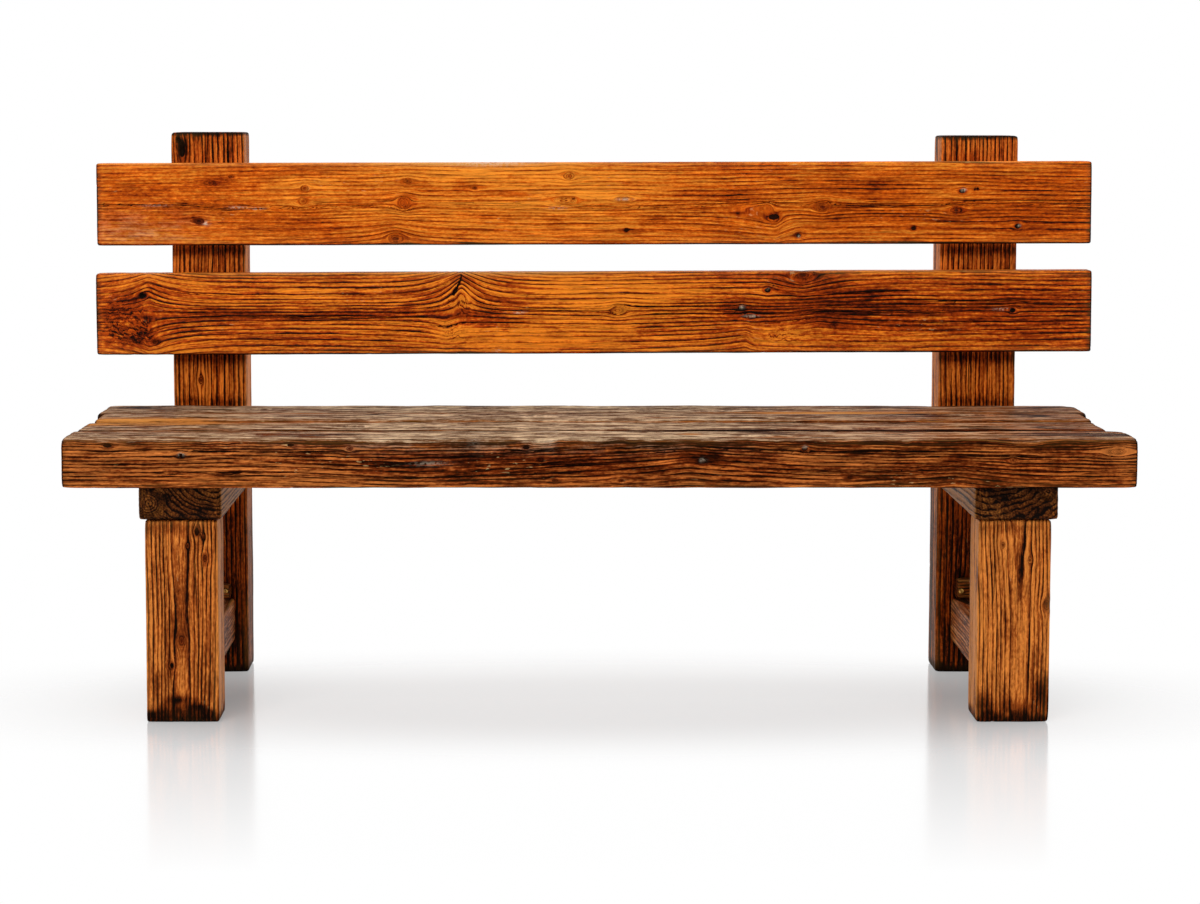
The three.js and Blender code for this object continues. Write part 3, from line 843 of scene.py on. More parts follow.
class Shader:
    """A material or a world being wired from nodes."""

    def __init__(self, owner):
        owner.use_nodes = True
        self.owner = owner
        self.tree = owner.node_tree
        self.tree.nodes.clear()

    def add(self, kind, inputs=(), **settings):
        """A new node, with values or links for its input sockets and with its own settings."""
        node = self.tree.nodes.new(kind)
        for name, value in settings.items():
            setattr(node, name, value)
        for socket, value in dict(inputs).items():
            if isinstance(value, bpy.types.NodeSocket):
                self.tree.links.new(value, node.inputs[socket])
            else:
                node.inputs[socket].default_value = value
        return node

    def field(self, name, output="Vector"):
        return self.add("ShaderNodeAttribute", attribute_name=name).outputs[output]

    def place(self):
        return self.add("ShaderNodeTexCoord").outputs["Object"]

    def parts(self, vector):
        return self.add("ShaderNodeSeparateXYZ", {0: vector}).outputs

    def math(self, operation, *values, clamp=False):
        node = self.add("ShaderNodeMath", dict(enumerate(values)), operation=operation, use_clamp=clamp)
        return node.outputs[0]

    def vector(self, operation, *values, output="Vector"):
        return self.add("ShaderNodeVectorMath", dict(enumerate(values)), operation=operation).outputs[output]

    def weighted(self, value, weight, added=0.0):
        """The value times its weight, plus what is added."""
        return self.math("MULTIPLY_ADD", value, weight, added)

    def centred(self, value, weight):
        """A value from 0 to 1 as an offset, which is nothing at a half."""
        return self.weighted(value, weight, -weight / 2)

    def total(self, *values):
        return reduce(partial(self.math, "ADD"), values)

    def product(self, *values):
        return reduce(partial(self.math, "MULTIPLY"), values)

    def noise(self, vector, scale, detail=2.0, rough=0.5):
        stretched = self.vector("MULTIPLY", vector, scale)
        inputs = {"Vector": stretched, "Scale": 1.0, "Detail": detail, "Roughness": rough}
        return self.add("ShaderNodeTexNoise", inputs).outputs["Fac"]

    def between(self, value, low, high, to_low=0.0, to_high=1.0, smooth=True):
        """The value's place between low and high, as a number between to_low and to_high."""
        inputs = dict(enumerate((value, low, high, to_low, to_high)))
        kind = "SMOOTHSTEP" if smooth else "LINEAR"
        return self.add("ShaderNodeMapRange", inputs, interpolation_type=kind).outputs[0]

    def mix(self, share, first, second, blend="MIX"):
        inputs = dict(zip(MIX_INPUTS, (share, opaque(first), opaque(second))))
        return self.add("ShaderNodeMix", inputs, data_type="RGBA", blend_type=blend).outputs[MIX_RESULT]

    def grey(self, value):
        return self.add("ShaderNodeCombineXYZ", dict.fromkeys(range(3), value)).outputs[0]

    def ramp(self, value, stops):
        node = self.add("ShaderNodeValToRGB", {0: value})
        elements = node.color_ramp.elements
        while len(elements) < len(stops):
            elements.new(0.5)
        for element, (place, colour) in zip(elements, stops):
            element.position = place
            element.color = opaque(colour)
        return node.outputs[0]

    def grey_ramp(self, value, stops):
        return self.ramp(value, [(place, (level,) * 3) for place, level in stops])

    def bump(self, height, distance, strength):
        inputs = {"Height": height, "Distance": distance, "Strength": strength}
        return self.add("ShaderNodeBump", inputs).outputs[0]

    def seen_or_mirrored(self):
        """1 for rays from the camera and from mirroring surfaces, 0 for those that only light."""
        path = self.add("ShaderNodeLightPath").outputs
        return self.math("MAXIMUM", path["Is Camera Ray"], path["Is Glossy Ray"])

    def surface(self, inputs):
        return self.finish(self.add("ShaderNodeBsdfPrincipled", inputs))

    def finish(self, last, output="ShaderNodeOutputMaterial"):
        self.add(output, {0: last.outputs[0]})
        return self.owner


class Finish(NamedTuple):
    """The colours and character of one timber's wood.

    Grain is how dark late wood is and level how dark the wood is without it. Streaks, fibres, clouds,
    threads and flecks are how strong those noises are, the flecks being painted glints, and wobble is how
    far the ring lines wander. Worn is the colour of rubbed arrises, which carries their painted highlight.
    """
    pale: tuple
    body: tuple
    dark: tuple
    grain: float = 0.85
    level: float = 0.08
    streaks: float = 0.7
    fibres: float = 0.9
    clouds: float = 0.4
    wobble: float = 0.2
    rough: float = 0.42
    sheen: float = 0.035
    coat: float = 0.03
    # The colour of rubbed arrises, which also carries their painted highlight, and how much of it shows
    worn: tuple = to_linear(246, 170, 84)
    worn_share: float = 0.7
    flecks: float = 0.35
    threads: float = 1.3


SOOT = to_linear(16, 6, 2)
# Greys of weathered wood, which also carry a painted sheen on tops and sides
DARK_GREY_AND_SHEEN = to_linear(88, 54, 30)
PALE_GREY_AND_SHEEN = to_linear(220, 188, 150)
# Colour of bleached wood, used also for painted highlight on top arrises and painted light on sides
TAN = to_linear(214, 146, 72)
# Colour of painted glints
GLINT_WHITE = to_linear(236, 212, 184)
RED_KNOT = to_linear(104, 34, 4)
# Colour of pale flecks, which are painted glints
FLECK_GLINT = to_linear(240, 200, 136)
# Colour of the seat's rubbed arrises, with their painted highlight
SEAT_WORN_HIGHLIGHT = to_linear(206, 132, 60)
# How dark each part of a ring is, from early to late wood, and how much calm patches leave of the rings
LATE_WOOD = ((0, 0.15), (0.08, 0.0), (0.46, 0.08), (0.7, 0.45), (0.82, 1.0), (0.93, 1.0), (1.0, 0.15))
CALM_RINGS = ((0, 1.0), (0.5, 0.3), (0.6, 0.4), (1.0, 0.95))

# Noises of the wood: cells to the metre along the grain, across it and in depth, then detail and roughness
KNOT_EDGES = ((110, 200, 200), 3)
KNOT_WOOD = ((90, 150, 150), 4, 0.65)
KNOT_RIMS = ((45, 80, 80), 2)
RING_DRIFT = ((5, 36, 36), 2)
RING_WAVER = ((30, 190, 190), 3, 0.6)
BURL_CURLS = ((60, 80, 80), 3, 0.65)
UNEVEN_RINGS = ((9, 70, 70), 3)
CRACK_EDGES = ((50, 400, 400), 3)
STREAKS = ((5.5, 150, 150), 4, 0.65)
FIBRES = ((17, 330, 330), 3, 0.65)
CLOUDS = ((3.4, 17, 17), 3, 0.6)
BLOTCHES = ((14, 34, 34), 3, 0.6)
BANDS = ((2.6, 80, 80), 4, 0.7)
SPECKS = ((130, 300, 300), 2, 0.6)
CURLY_GRAIN = ((80, 150, 150), 4, 0.7)
WARM_CLOUDS = ((2.2, 11, 11), 2)
FINE_THREADS = ((26, 460, 460), 3, 0.7)
BROAD_THREADS = ((9, 120, 120), 3, 0.65)
GREY_MOTTLE = ((26, 78, 78), 6, 0.8)
GREY_STREAKS = ((7, 60, 60), 3, 0.7)
FLECK_CLUSTERS = ((5, 16, 16), 2)
FLECKS = ((70, 300, 300), 2)
GLINT_EDGES = ((200, 400, 400), 2)

# Noises of the metals, the pegs and the floor, in the same terms
RUST_BLOTCHES = ((260, 260, 260), 4, 0.6)
METAL_SCRATCHES = ((900, 900, 90), 2)
PEG_RINGS = ((90, 700, 700), 4, 0.6)
FLOOR_GRAIN = ((30, 30, 30), 3)


def knot_parts(shader, place):
    """How far each point is from the nearest knot's middle, in knot radii, with its nearness and tone."""
    offset_x, offset_y, tone = shader.parts(shader.field("knot_at"))
    near = shader.field("knot_near", "Fac")
    flat = shader.add("ShaderNodeCombineXYZ", {0: offset_x, 1: offset_y}).outputs[0]
    far = shader.vector("LENGTH", flat, output="Value")
    far = shader.total(far, shader.centred(shader.noise(place, *KNOT_EDGES), 0.9))
    inside = shader.product(shader.between(far, 1.25, 0.75), near)
    return far, inside, near, tone


def ring_darkness(shader, finish, ring, place, far, inside, calm):
    """Dark late wood at the end of each ring, uneven from ring to ring, on wandering lines."""
    slow = shader.centred(shader.noise(place, *RING_DRIFT), 2 * finish.wobble)
    quick = shader.centred(shader.noise(place, *RING_WAVER), 0.35)
    rough = shader.product(shader.centred(shader.noise(place, *KNOT_WOOD), 2.4), inside)
    knot_rings = shader.product(far, 2.4, inside)
    burl = shader.between(calm, 0.5, 0.95, 0.0, 5.0)
    curls = shader.product(shader.centred(shader.noise(place, *BURL_CURLS), 1.0), burl)
    here = shader.total(ring, slow, quick, rough, knot_rings, curls)
    number = {"W": shader.math("FLOOR", here)}
    strength = shader.add("ShaderNodeTexWhiteNoise", number, noise_dimensions="1D").outputs["Value"]
    late = shader.grey_ramp(shader.math("FRACT", here), LATE_WOOD)
    uneven = shader.between(shader.noise(place, *UNEVEN_RINGS), 0.36, 0.62, 0.35, 1.25, smooth=False)
    faded = shader.grey_ramp(calm, CALM_RINGS)
    share = shader.product(shader.weighted(strength, 0.5, 0.7), uneven, faded)
    return late, shader.product(late, share)


def knot_darkness(shader, darkness, place, far, near, tone):
    """Darkens knots in their eye, with a broken rim and a soft halo, and makes rotted ones black."""
    eye = shader.between(far, 0.62, 0.1, 0.0, 0.8)
    broken = shader.between(shader.noise(place, *KNOT_RIMS), 0.42, 0.58)
    from_rim = shader.math("ABSOLUTE", shader.math("SUBTRACT", far, 1.0))
    rim = shader.product(shader.between(from_rim, 0.22, 0.02, 0.0, 0.4), broken)
    halo = shader.between(far, 2.6, 0.9, 0.0, 0.25)
    edge = shader.product(shader.total(eye, rim, halo), near, tone)
    rotted = shader.product(shader.between(tone, 0.95, 1.15), shader.between(far, 1.25, 0.8), near)
    return shader.total(darkness, edge, rotted)


def crack_share(shader, place):
    """1 in an open crack and 0 beside it."""
    offset, width, _ = shader.parts(shader.field("crack_at"))
    ragged = shader.centred(shader.noise(place, *CRACK_EDGES), 1.8)
    clear = shader.math("SUBTRACT", shader.math("ABSOLUTE", shader.total(offset, ragged)), width)
    return shader.between(clear, 0.5, -0.3)


def wood_tones(shader, finish, place, streaks, calm):
    """The darkness that streaks, fibres, clouds, blotches and specks add to the rings."""
    fibres, clouds, blotches, bands, specks, curly = (
        shader.noise(place, *kind) for kind in (FIBRES, CLOUDS, BLOTCHES, BANDS, SPECKS, CURLY_GRAIN))
    quiet = shader.weighted(calm, -0.6, 1.0)
    added = shader.total(
        shader.product(shader.centred(streaks, 2 * finish.streaks), quiet),
        shader.product(shader.centred(fibres, 2 * finish.fibres), quiet),
        shader.product(shader.centred(curly, 1.8), calm),
        shader.centred(clouds, 2 * finish.clouds),
        shader.centred(specks, 0.8),
        shader.between(blotches, 0.55, 0.7, 0.0, 0.24),
        shader.product(shader.between(bands, 0.55, 0.74, 0.0, 0.26), quiet),
        shader.product(shader.between(bands, 0.46, 0.3, 0.0, -0.14), quiet),
    )
    return added, fibres, specks


WARM_TINT = (0.95, 0.7, 0.4)


def wood_colour(shader, finish, place, darkness, streaks, wear_and_highlight, inside, knot_tone):
    """The wood's colour from its darkness, redder in knots and in patches, and paler on rubbed arrises,
    with a painted highlight on those that face up.
    """
    colour = shader.ramp(
        darkness, [(0.0, finish.pale), (0.36, finish.body), (0.72, finish.dark), (1.0, SOOT)])
    reddening = shader.between(knot_tone, 0.0, 0.8, 0.1, 0.4)
    red = shader.product(inside, reddening, shader.between(knot_tone, 1.2, 0.9))
    colour = shader.mix(red, colour, RED_KNOT)
    warm = shader.between(shader.noise(place, *WARM_CLOUDS), 0.48, 0.7, 0.0, 0.5)
    colour = shader.mix(warm, colour, WARM_TINT, "MULTIPLY")
    # Rubbed arrises, paler, with the painted highlight of those that face up
    rubbed_and_highlight = shader.product(wear_and_highlight, shader.between(streaks, 0.38, 0.55), finish.worn_share)
    colour = shader.mix(rubbed_and_highlight, colour, finish.worn)
    threads = shader.total(
        shader.centred(shader.noise(place, *FINE_THREADS), 1.6 * finish.threads),
        shader.centred(shader.noise(place, *BROAD_THREADS), finish.threads),
    )
    return shader.mix(1.0, colour, shader.grey(shader.total(threads, 1.0)), "MULTIPLY")


def weathering(shader, finish, place, colour, darkness, silver, tan):
    """Grey weathering with a painted sheen and bleached wood with painted highlight over the colour, then
    pale flecks in clusters and bright spots, both painted glints.
    """
    streaks = shader.centred(shader.noise(place, *GREY_STREAKS), 0.8)
    pale = shader.total(shader.noise(place, *GREY_MOTTLE), streaks)
    grey = shader.mix(shader.between(pale, 0.38, 0.66), DARK_GREY_AND_SHEEN, PALE_GREY_AND_SHEEN)
    # Grey weathering with a painted sheen, and bleached wood with painted highlight and painted light
    silvered = shader.product(silver, shader.between(darkness, 0.7, 0.25, 0.05, 1.0))
    bleached_and_highlit = shader.product(tan, shader.between(darkness, 0.7, 0.2, 0.1, 1.0))
    clusters = shader.between(shader.noise(place, *FLECK_CLUSTERS), 0.54, 0.64)
    flecks = shader.between(shader.noise(place, *FLECKS), 0.64, 0.7, 0.0, finish.flecks)
    ragged = shader.between(shader.noise(place, *GLINT_EDGES), 0.4, 0.55)
    # Painted glints
    painted_glints = shader.product(shader.field("glint", "Fac"), ragged)
    layers = ((silvered, grey), (bleached_and_highlit, TAN), (shader.product(flecks, clusters), FLECK_GLINT), (painted_glints, GLINT_WHITE))
    for share, layer in layers:
        colour = shader.mix(share, colour, layer)
    return colour


def wood_material(name, finish):
    """Old softwood with its rings, fibres, knots, cracks, stains and rubbed arrises under a thin varnish,
    with painted shade, sheen, highlights and glints in its colour.
    """
    shader = Shader(bpy.data.materials.new(name))
    place = shader.field("grain_at")
    tone, stain, wear_and_highlight = shader.parts(shader.field("marks"))
    silver, tan, calm = shader.parts(shader.field("weather"))
    far, inside, near, knot_tone = knot_parts(shader, place)
    late, grain = ring_darkness(shader, finish, shader.field("ring", "Fac"), place, far, inside, calm)
    streaks = shader.noise(place, *STREAKS)
    added, fibres, specks = wood_tones(shader, finish, place, streaks, calm)
    darkness = shader.total(shader.weighted(grain, finish.grain, finish.level), added, tone)
    darkness = knot_darkness(shader, darkness, place, far, near, knot_tone)
    crack = crack_share(shader, place)
    dirt_and_shade = shader.math("MULTIPLY", stain, shader.weighted(streaks, 1.8, 0.1), clamp=True)
    darkness = shader.total(shader.weighted(dirt_and_shade, 0.85, darkness), crack)
    colour = wood_colour(shader, finish, place, darkness, streaks, wear_and_highlight, inside, knot_tone)
    colour = weathering(shader, finish, place, colour, darkness, silver, tan)
    height = shader.total(
        shader.weighted(late, 0.8, shader.weighted(fibres, 1.0)),
        shader.weighted(streaks, 1.2, shader.weighted(specks, 0.6)),
        shader.weighted(crack, -2.0),
    )
    dull = shader.weighted(streaks, 0.4, finish.rough - 0.2)
    bare = shader.math("ADD", silver, tan, clamp=True)
    return shader.surface({
        "Base Color": shader.mix(crack, colour, SOOT),
        "Roughness": shader.total(dull, shader.weighted(dirt_and_shade, 0.2)),
        "Normal": shader.bump(height, MM, 1.0),
        "Specular IOR Level": finish.sheen,
        "Coat Weight": shader.weighted(bare, -0.85 * finish.coat, finish.coat),
        "Coat Roughness": 0.22,
        "Coat IOR": 1.3,
    })


def metal_material(name, colour, rust, rough):
    """Old metal, dulled and blotched with rust or tarnish."""
    shader = Shader(bpy.data.materials.new(name))
    place = shader.place()
    blotches = shader.noise(place, *RUST_BLOTCHES)
    share = shader.between(blotches, 0.42, 0.62)
    return shader.surface({
        "Base Color": shader.mix(share, colour, rust),
        "Metallic": shader.between(share, 0.0, 1.0, 1.0, 0.25, smooth=False),
        "Roughness": shader.weighted(shader.noise(place, *METAL_SCRATCHES), 0.3, rough),
        "Normal": shader.bump(blotches, 0.4 * MM, 0.5),
    })


# The timbers, with marks placed from the photograph

# Far enough past both ends of any timber for a patch to be even along it
TIMBER_MIDDLE = 800
PAST_THE_ENDS = 2000
# Wide enough for a patch to be even across any timber
ALL_ACROSS = 200
# Where the top arris of a slat lies across it
SLAT_TOP = 134


def on_edge(*marks):
    """The same marks, on the lower edge face."""
    return tuple(mark._replace(on_edge=True) for mark in marks)


def whole_length(across, reach, **effects):
    """A strip that runs all along a timber."""
    return Patch(TIMBER_MIDDLE, across, PAST_THE_ENDS, reach, **effects)


def glints(*rows):
    """Painted glints, each with its place, its reach along and across, and how bright it is."""
    return tuple(Patch(*row[:4], glint=row[4]) for row in rows)


UPPER_SLAT_KNOTS = (
    Knot(499, 69, 8, 1.2, 1.2, 0.05, 0.3),
    Knot(339, 93, 4.5, 1.4, 1.2, 0.5, 0.4),
    Knot(336, 72, 4.5, 1.4, 1.2, 0.4, 0.4),
    Knot(185, 102, 3, 3.0, 1.2, 0.4, 0.4),
    Knot(166, 40, 4, 2.2, 1.2, 0.7, 1.2),
    Knot(486, 11, 6, 1.8, 1.2, 0.5, 0.4),
    Knot(506, 104, 3, 2.0, 1.6, 0.4, 0.2),
    Knot(768, 112, 5, 1.6, 1.2, 0.4, 0.3),
    Knot(760, 72, 5, 3.4, 1.2, 0.1, 0.2),
    Knot(858, 74, 4, 3.4, 1.2, 0.1, 0.2),
    Knot(1180, 61, 5, 1.8, 1.2, 0.5, 0.5),
    Knot(1397, 55, 4, 2.2, 1.4, 0.7, 0.4),
    Knot(1101, 45, 4, 1.9, 1.4, 1.1, 0.8),
    Knot(220, 112, 2.0, 2.0, 1.4, 0.5, 0.3),
    Knot(615, 93, 2.0, 2.0, 1.4, 0.8, 0.3),
    Knot(776, 75, 2.0, 2.0, 1.4, 0.7, 0.3),
    Knot(861, 24, 2.0, 1.6, 1.4, 1.1, 0.3),
    Knot(1328, 26, 2.6, 1.3, 1.3, 1.1, 1.0),
    Knot(1407, 86, 3.0, 1.4, 1.3, 1.2, 2.0),
    Knot(1432, 90, 1.6, 1.2, 1.2, 1.2, 0.6),
    Knot(1498, 29, 3.2, 1.2, 1.3, 1.2, 2.0),
    Knot(1141, 15, 3.2, 1.2, 1.5, 1.1, 1.0),
)
UPPER_SLAT_SWIRLS = (
    Swirl(486, 16, 46, 34, rise=12),
    Swirl(1104, 30, 90, 30, rise=-14, after=16),
    Swirl(1092, 62, 52, 9, rise=13, after=12),
    Swirl(1180, 61, 30, 20, pinch=-0.25),
)
UPPER_SLAT_CRACKS = (
    Crack(-30, 150, 66, 0.7, 0.0, 2.4),
    Crack(130, 215, 63, 0.5, 0.0, 2.0),
    Crack(205, 300, 60, 1.0, 0.0, 1.6),
    Crack(1590, 1640, 56, 1.8),
    Crack(1190, 1420, 62, 0.7),
    Crack(1380, 1600, 70, 0.9),
)
UPPER_SLAT_PATCHES = (
    Patch(700, 90, 170, 60, tone=-0.14),
    Patch(640, 110, 200, 40, tone=-0.08),
    Patch(1420, 60, 330, 80, tone=0.2),
    Patch(170, 70, 240, 90, calm=0.5, tone=0.12),
    Patch(195, 104, 34, 12, tone=0.3),
    Patch(330, 120, 60, 10, tone=0.16),
    Patch(320, 28, 110, 16, tone=0.12),
    Patch(1075, 47, 30, 12, tone=0.14, calm=0.4),
    Patch(1104, 20, 14, 30, tone=0.1, calm=0.5),
    Patch(1180, 84, 200, 14, tone=0.1),
    Patch(60, 24, 90, 26, silver=0.28),
    Patch(120, 60, 300, 90, tone=0.06),
    # Painted highlight along the top arris, where it catches the light, with a painted glint on it
    Patch(560, SLAT_TOP, 150, 5, tan=1.0),
    Patch(640, SLAT_TOP, 60, 5, glint=0.5),
    Patch(900, SLAT_TOP, 200, 4, tan=0.5),
    Patch(150, SLAT_TOP, 200, 3, tan=0.4),
    Patch(640, 116, 120, 10, tone=-0.25),
    Patch(690, 66, 60, 6, tone=-0.25),
    # Dirt and painted shade along the bottom edge
    whole_length(0, 3, stain=0.9),
    *glints(
        (178, 36, 4, 2.5, 1.0), (230, 62, 12, 1.6, 0.8), (262, 60, 9, 1.6, 0.7),
        (96, 66, 20, 1.4, 0.45), (858, 74, 10, 1.8, 0.6), (750, 60, 14, 2.0, 0.35),
        (1409, 88, 3.5, 2.2, 1.0), (1500, 30, 2.2, 1.8, 0.7), (1142, 13, 2.0, 2.0, 0.6),
    ),
)
# A split across the grain, as a row of narrow rotted places: along, across and stretch of each
SLANTED_SPLIT = (
    (596, 126, 0.3), (594.5, 121, 0.34), (592.5, 116, 0.36), (590, 111, 0.38), (587, 106, 0.38),
    (584, 101, 0.34),
)
LOWER_SLAT_KNOTS = (
    Knot(77, 98, 3.2, 1.5, 1.3, 1.2, 3.0),
    Knot(97, 22, 3, 1.5, 1.3, 0.7, 0.6),
    *(Knot(along, across, 3.2, stretch, 1.0, 1.2, 0.7) for along, across, stretch in SLANTED_SPLIT),
    Knot(851, 71, 4.5, 1.7, 1.6, 0.2, 0.4),
    Knot(1095, 103, 3.4, 1.3, 1.4, 1.2, 2.2),
    Knot(1152, 128, 7, 2.2, 1.4, 0.7, 0.6),
    Knot(1495, 69, 3.2, 1.3, 1.4, 1.2, 2.0),
    Knot(1052, 74, 2.6, 1.6, 1.4, 1.2, 1.4),
    Knot(1066, 60, 2.6, 2.2, 1.4, 0.9, 1.0),
)
LOWER_SLAT_SWIRLS = (
    Swirl(86, 66, 34, 66, pinch=-0.66, after=42),
    Swirl(595, 114, 40, 40, rise=34, after=34),
    Swirl(570, 40, 26, 24, rise=-8, after=24),
    Swirl(1060, 26, 50, 26, rise=9, after=12),
    Swirl(1176, 54, 40, 22, rise=8, after=90),
    Swirl(1152, 112, 40, 22, rise=-9),
    Swirl(1320, 60, 160, 60, pinch=-0.2),
)
LOWER_SLAT_CRACKS = (
    Crack(660, 840, 71, 1.0),
    Crack(840, 1090, 77, 1.3),
    Crack(900, 1390, 66, 1.8, -0.004),
    Crack(1240, 1530, 84, 1.5, -0.012),
    Crack(180, 420, 64, 1.5),
    Crack(300, 560, 60, 1.3),
    Crack(560, 700, 52, 1.4),
    Crack(1340, 1600, 51, 0.9),
    Crack(1100, 1300, 96, 1.1),
    Crack(1180, 1500, 76, 1.2),
)
LOWER_SLAT_PATCHES = (
    Patch(840, 70, 250, 90, tone=-0.12),
    Patch(900, 96, 200, 30, tone=-0.1),
    # Painted highlight along the top arris
    Patch(700, SLAT_TOP, 130, 5, tan=1.0),
    Patch(320, SLAT_TOP, 220, 3, tan=0.45),
    Patch(1100, SLAT_TOP, 240, 3, tan=0.3),
    # Dirt and painted shade along the bottom edge
    whole_length(0, 3, stain=0.9),
    Patch(760, 112, 90, 8, tone=-0.3),
    Patch(250, 70, 260, 90, tone=0.06),
    Patch(330, 66, 200, 9, tone=0.36),
    Patch(358, 45, 40, 8, tone=-0.3),
    Patch(34, 62, 50, 60, tone=0.2, calm=0.85),
    Patch(80, 56, 16, 26, tone=0.12, calm=0.5),
    Patch(60, 22, 40, 16, tone=0.2, calm=0.3),
    Patch(50, 114, 22, 12, tone=-0.2),
    Patch(28, 70, 30, 8, stain=0.25),
    Patch(80, 34, 18, 14, tone=0.3, calm=0.5),
    Patch(60, 92, 16, 14, tone=0.2),
    Patch(600, 82, 17, 20, tone=0.06, calm=0.95),
    Patch(602, 62, 16, 7, tone=0.25, calm=0.3),
    Patch(612, 100, 10, 12, tone=-0.15),
    Patch(560, 66, 30, 7, tone=0.3),
    Patch(640, 68, 22, 6, tone=0.4),
    Patch(584, 36, 30, 16, tone=-0.12, calm=0.8),
    Patch(700, 26, 110, 24, tone=-0.12, calm=0.6),
    Patch(650, 58, 60, 9, tone=0.3),
    Patch(1120, 66, 120, 22, tone=0.24),
    Patch(1152, 118, 46, 16, tone=0.3, calm=0.4),
    Patch(1120, 30, 60, 20, tone=-0.1, calm=0.7),
    Patch(1200, 100, 60, 24, tone=0.15),
    Patch(1320, 76, 260, 12, tone=0.26),
    Patch(1400, 60, 330, 80, tone=0.22, calm=0.22),
    Patch(1380, 28, 200, 20, tone=-0.1, calm=0.2),
    Patch(280, 24, 90, 20, tone=0.1),
    *glints(
        (1053, 76, 3, 2.2, 1.0), (1068, 61, 9, 1.8, 0.8), (1096, 105, 2, 1.6, 0.5),
        (1478, 71, 12, 1.6, 0.6), (690, 68, 8, 1.4, 0.7), (654, 6, 4, 1.6, 0.6),
    ),
)
SEAT_FRONT_KNOTS = (
    *on_edge(
        Knot(71, 66, 3, 2.0, 1.2, 1.1, 1.0),
        Knot(179, 50, 2.8, 1.8, 1.2, 1.1, 1.4),
        Knot(342, 66, 2.4, 2.0, 1.2, 1.1, 0.4),
        Knot(429, 61, 3, 1.4, 1.3, 0.8, 0.5),
        Knot(691, 63, 2.6, 1.6, 1.2, 1.1, 0.8),
        Knot(713, 44, 2.2, 1.6, 1.2, 1.0, 0.6),
        Knot(734, 12, 2, 1.8, 1.2, 1.0, 0.5),
        Knot(833, 12, 2, 1.8, 1.2, 1.0, 0.5),
        Knot(952, 41, 2.4, 1.8, 1.2, 1.1, 1.0),
        Knot(1105, 60, 2.6, 1.6, 1.2, 1.1, 0.9),
        Knot(1174, 18, 2, 1.8, 1.2, 1.0, 0.5),
        Knot(1414, 43, 2.6, 1.6, 1.5, 0.5, 0.4),
        Knot(1569, 56, 4, 3.0, 1.6, 0.0, 0.3),
    ),
    Knot(300, 60, 8, 1.8, 1.8, 0.6, 0.8),
    Knot(1040, 40, 7, 2.0, 1.8, 0.6, 0.8),
)
SEAT_FRONT_SWIRLS = (
    *on_edge(
        Swirl(930, 40, 90, 40, rise=12),
        Swirl(520, 20, 120, 30, rise=-7),
        Swirl(1330, 12, 70, 30, rise=9),
    ),
)
SEAT_FRONT_CRACKS = (
    *on_edge(
        Crack(30, 420, 57, 1.6),
        Crack(330, 640, 50, 1.3),
        Crack(600, 900, 58, 1.8),
        Crack(700, 1010, 36, 1.2),
        Crack(950, 1330, 55, 1.4),
        Crack(1280, 1590, 47, 1.5),
        Crack(460, 700, 22, 1.1),
        Crack(120, 330, 26, 1.0),
        Crack(1060, 1260, 27, 1.0),
    ),
    Crack(-40, 240, 40, 2.4, 0.02, 4.0),
    Crack(350, 800, 60, 3.4, 0.01, 5.0),
    Crack(620, 980, 22, 2.6, 0.0, 5.0),
    Crack(760, 1200, 36, 3.0, 0.0, 5.0),
    Crack(1150, 1640, 70, 2.6, 0.01, 5.0),
)
PALER_MIDDLE = Patch(740, 50, 300, ALL_ACROSS, silver=0.45, tone=-0.36)
BROWNER_END = Patch(1450, 50, 300, ALL_ACROSS, silver=-0.38)
SEAT_FRONT_PATCHES = (
    *on_edge(
        Patch(700, 50, 190, 60, tone=0.22),
        Patch(600, 66, 60, 14, tone=0.2),
        Patch(960, 62, 90, 12, tone=0.25),
        Patch(150, 40, 200, 60, tone=-0.10),
        Patch(1050, 20, 240, 30, tone=-0.08),
        Patch(1490, 64, 60, 7, tone=0.35),
        Patch(1250, 14, 60, 6, tone=0.3),
        Patch(1569, 56, 36, 7, tone=-0.3),
        Patch(850, 71, 900, 6, stain=0.6),
        Patch(1300, 40, 300, 90, tone=0.08),
    ),
    Patch(380, 45, 60, 30, tone=0.25, silver=-0.3),
    Patch(560, 12, 150, 22, tone=-0.2, silver=0.25),
    Patch(1040, 30, 60, 8, tone=-0.3, silver=-0.6),
    Patch(250, 94, 260, 10, tone=-0.1, silver=-0.4),
    Patch(1310, 104, 26, 10, tone=-0.5, silver=-1.0, tan=0.2),
    BROWNER_END,
    PALER_MIDDLE,
    Patch(938, 64, 15, 8, tone=-0.7, silver=-1.3, tan=0.5),
    Patch(350, 84, 60, 20, tone=0.35, calm=0.8),
    *glints(
        (612, 62, 22, 8, 0.35), (727, 94, 14, 5, 0.4), (615, 6, 8, 5, 0.4), (727, 4, 8, 4, 0.3),
        (560, 16, 20, 5, 0.25),
    ),
    *on_edge(
        Patch(548, 38, 22, 3, glint=0.25),
        Patch(180, 52, 4, 2.5, glint=0.6),
        Patch(953, 43, 3, 2.5, glint=0.8),
        Patch(1105, 63, 3, 2, glint=0.6),
        Patch(1580, 40, 8, 60, tone=-0.2),
    ),
)


def rubbed_patch(along, across, reach_along, reach_across):
    """A stretch of a seat board that is rubbed down to golden wood."""
    return Patch(along, across, reach_along, reach_across, tone=-0.1, silver=-1.3, tan=0.75)


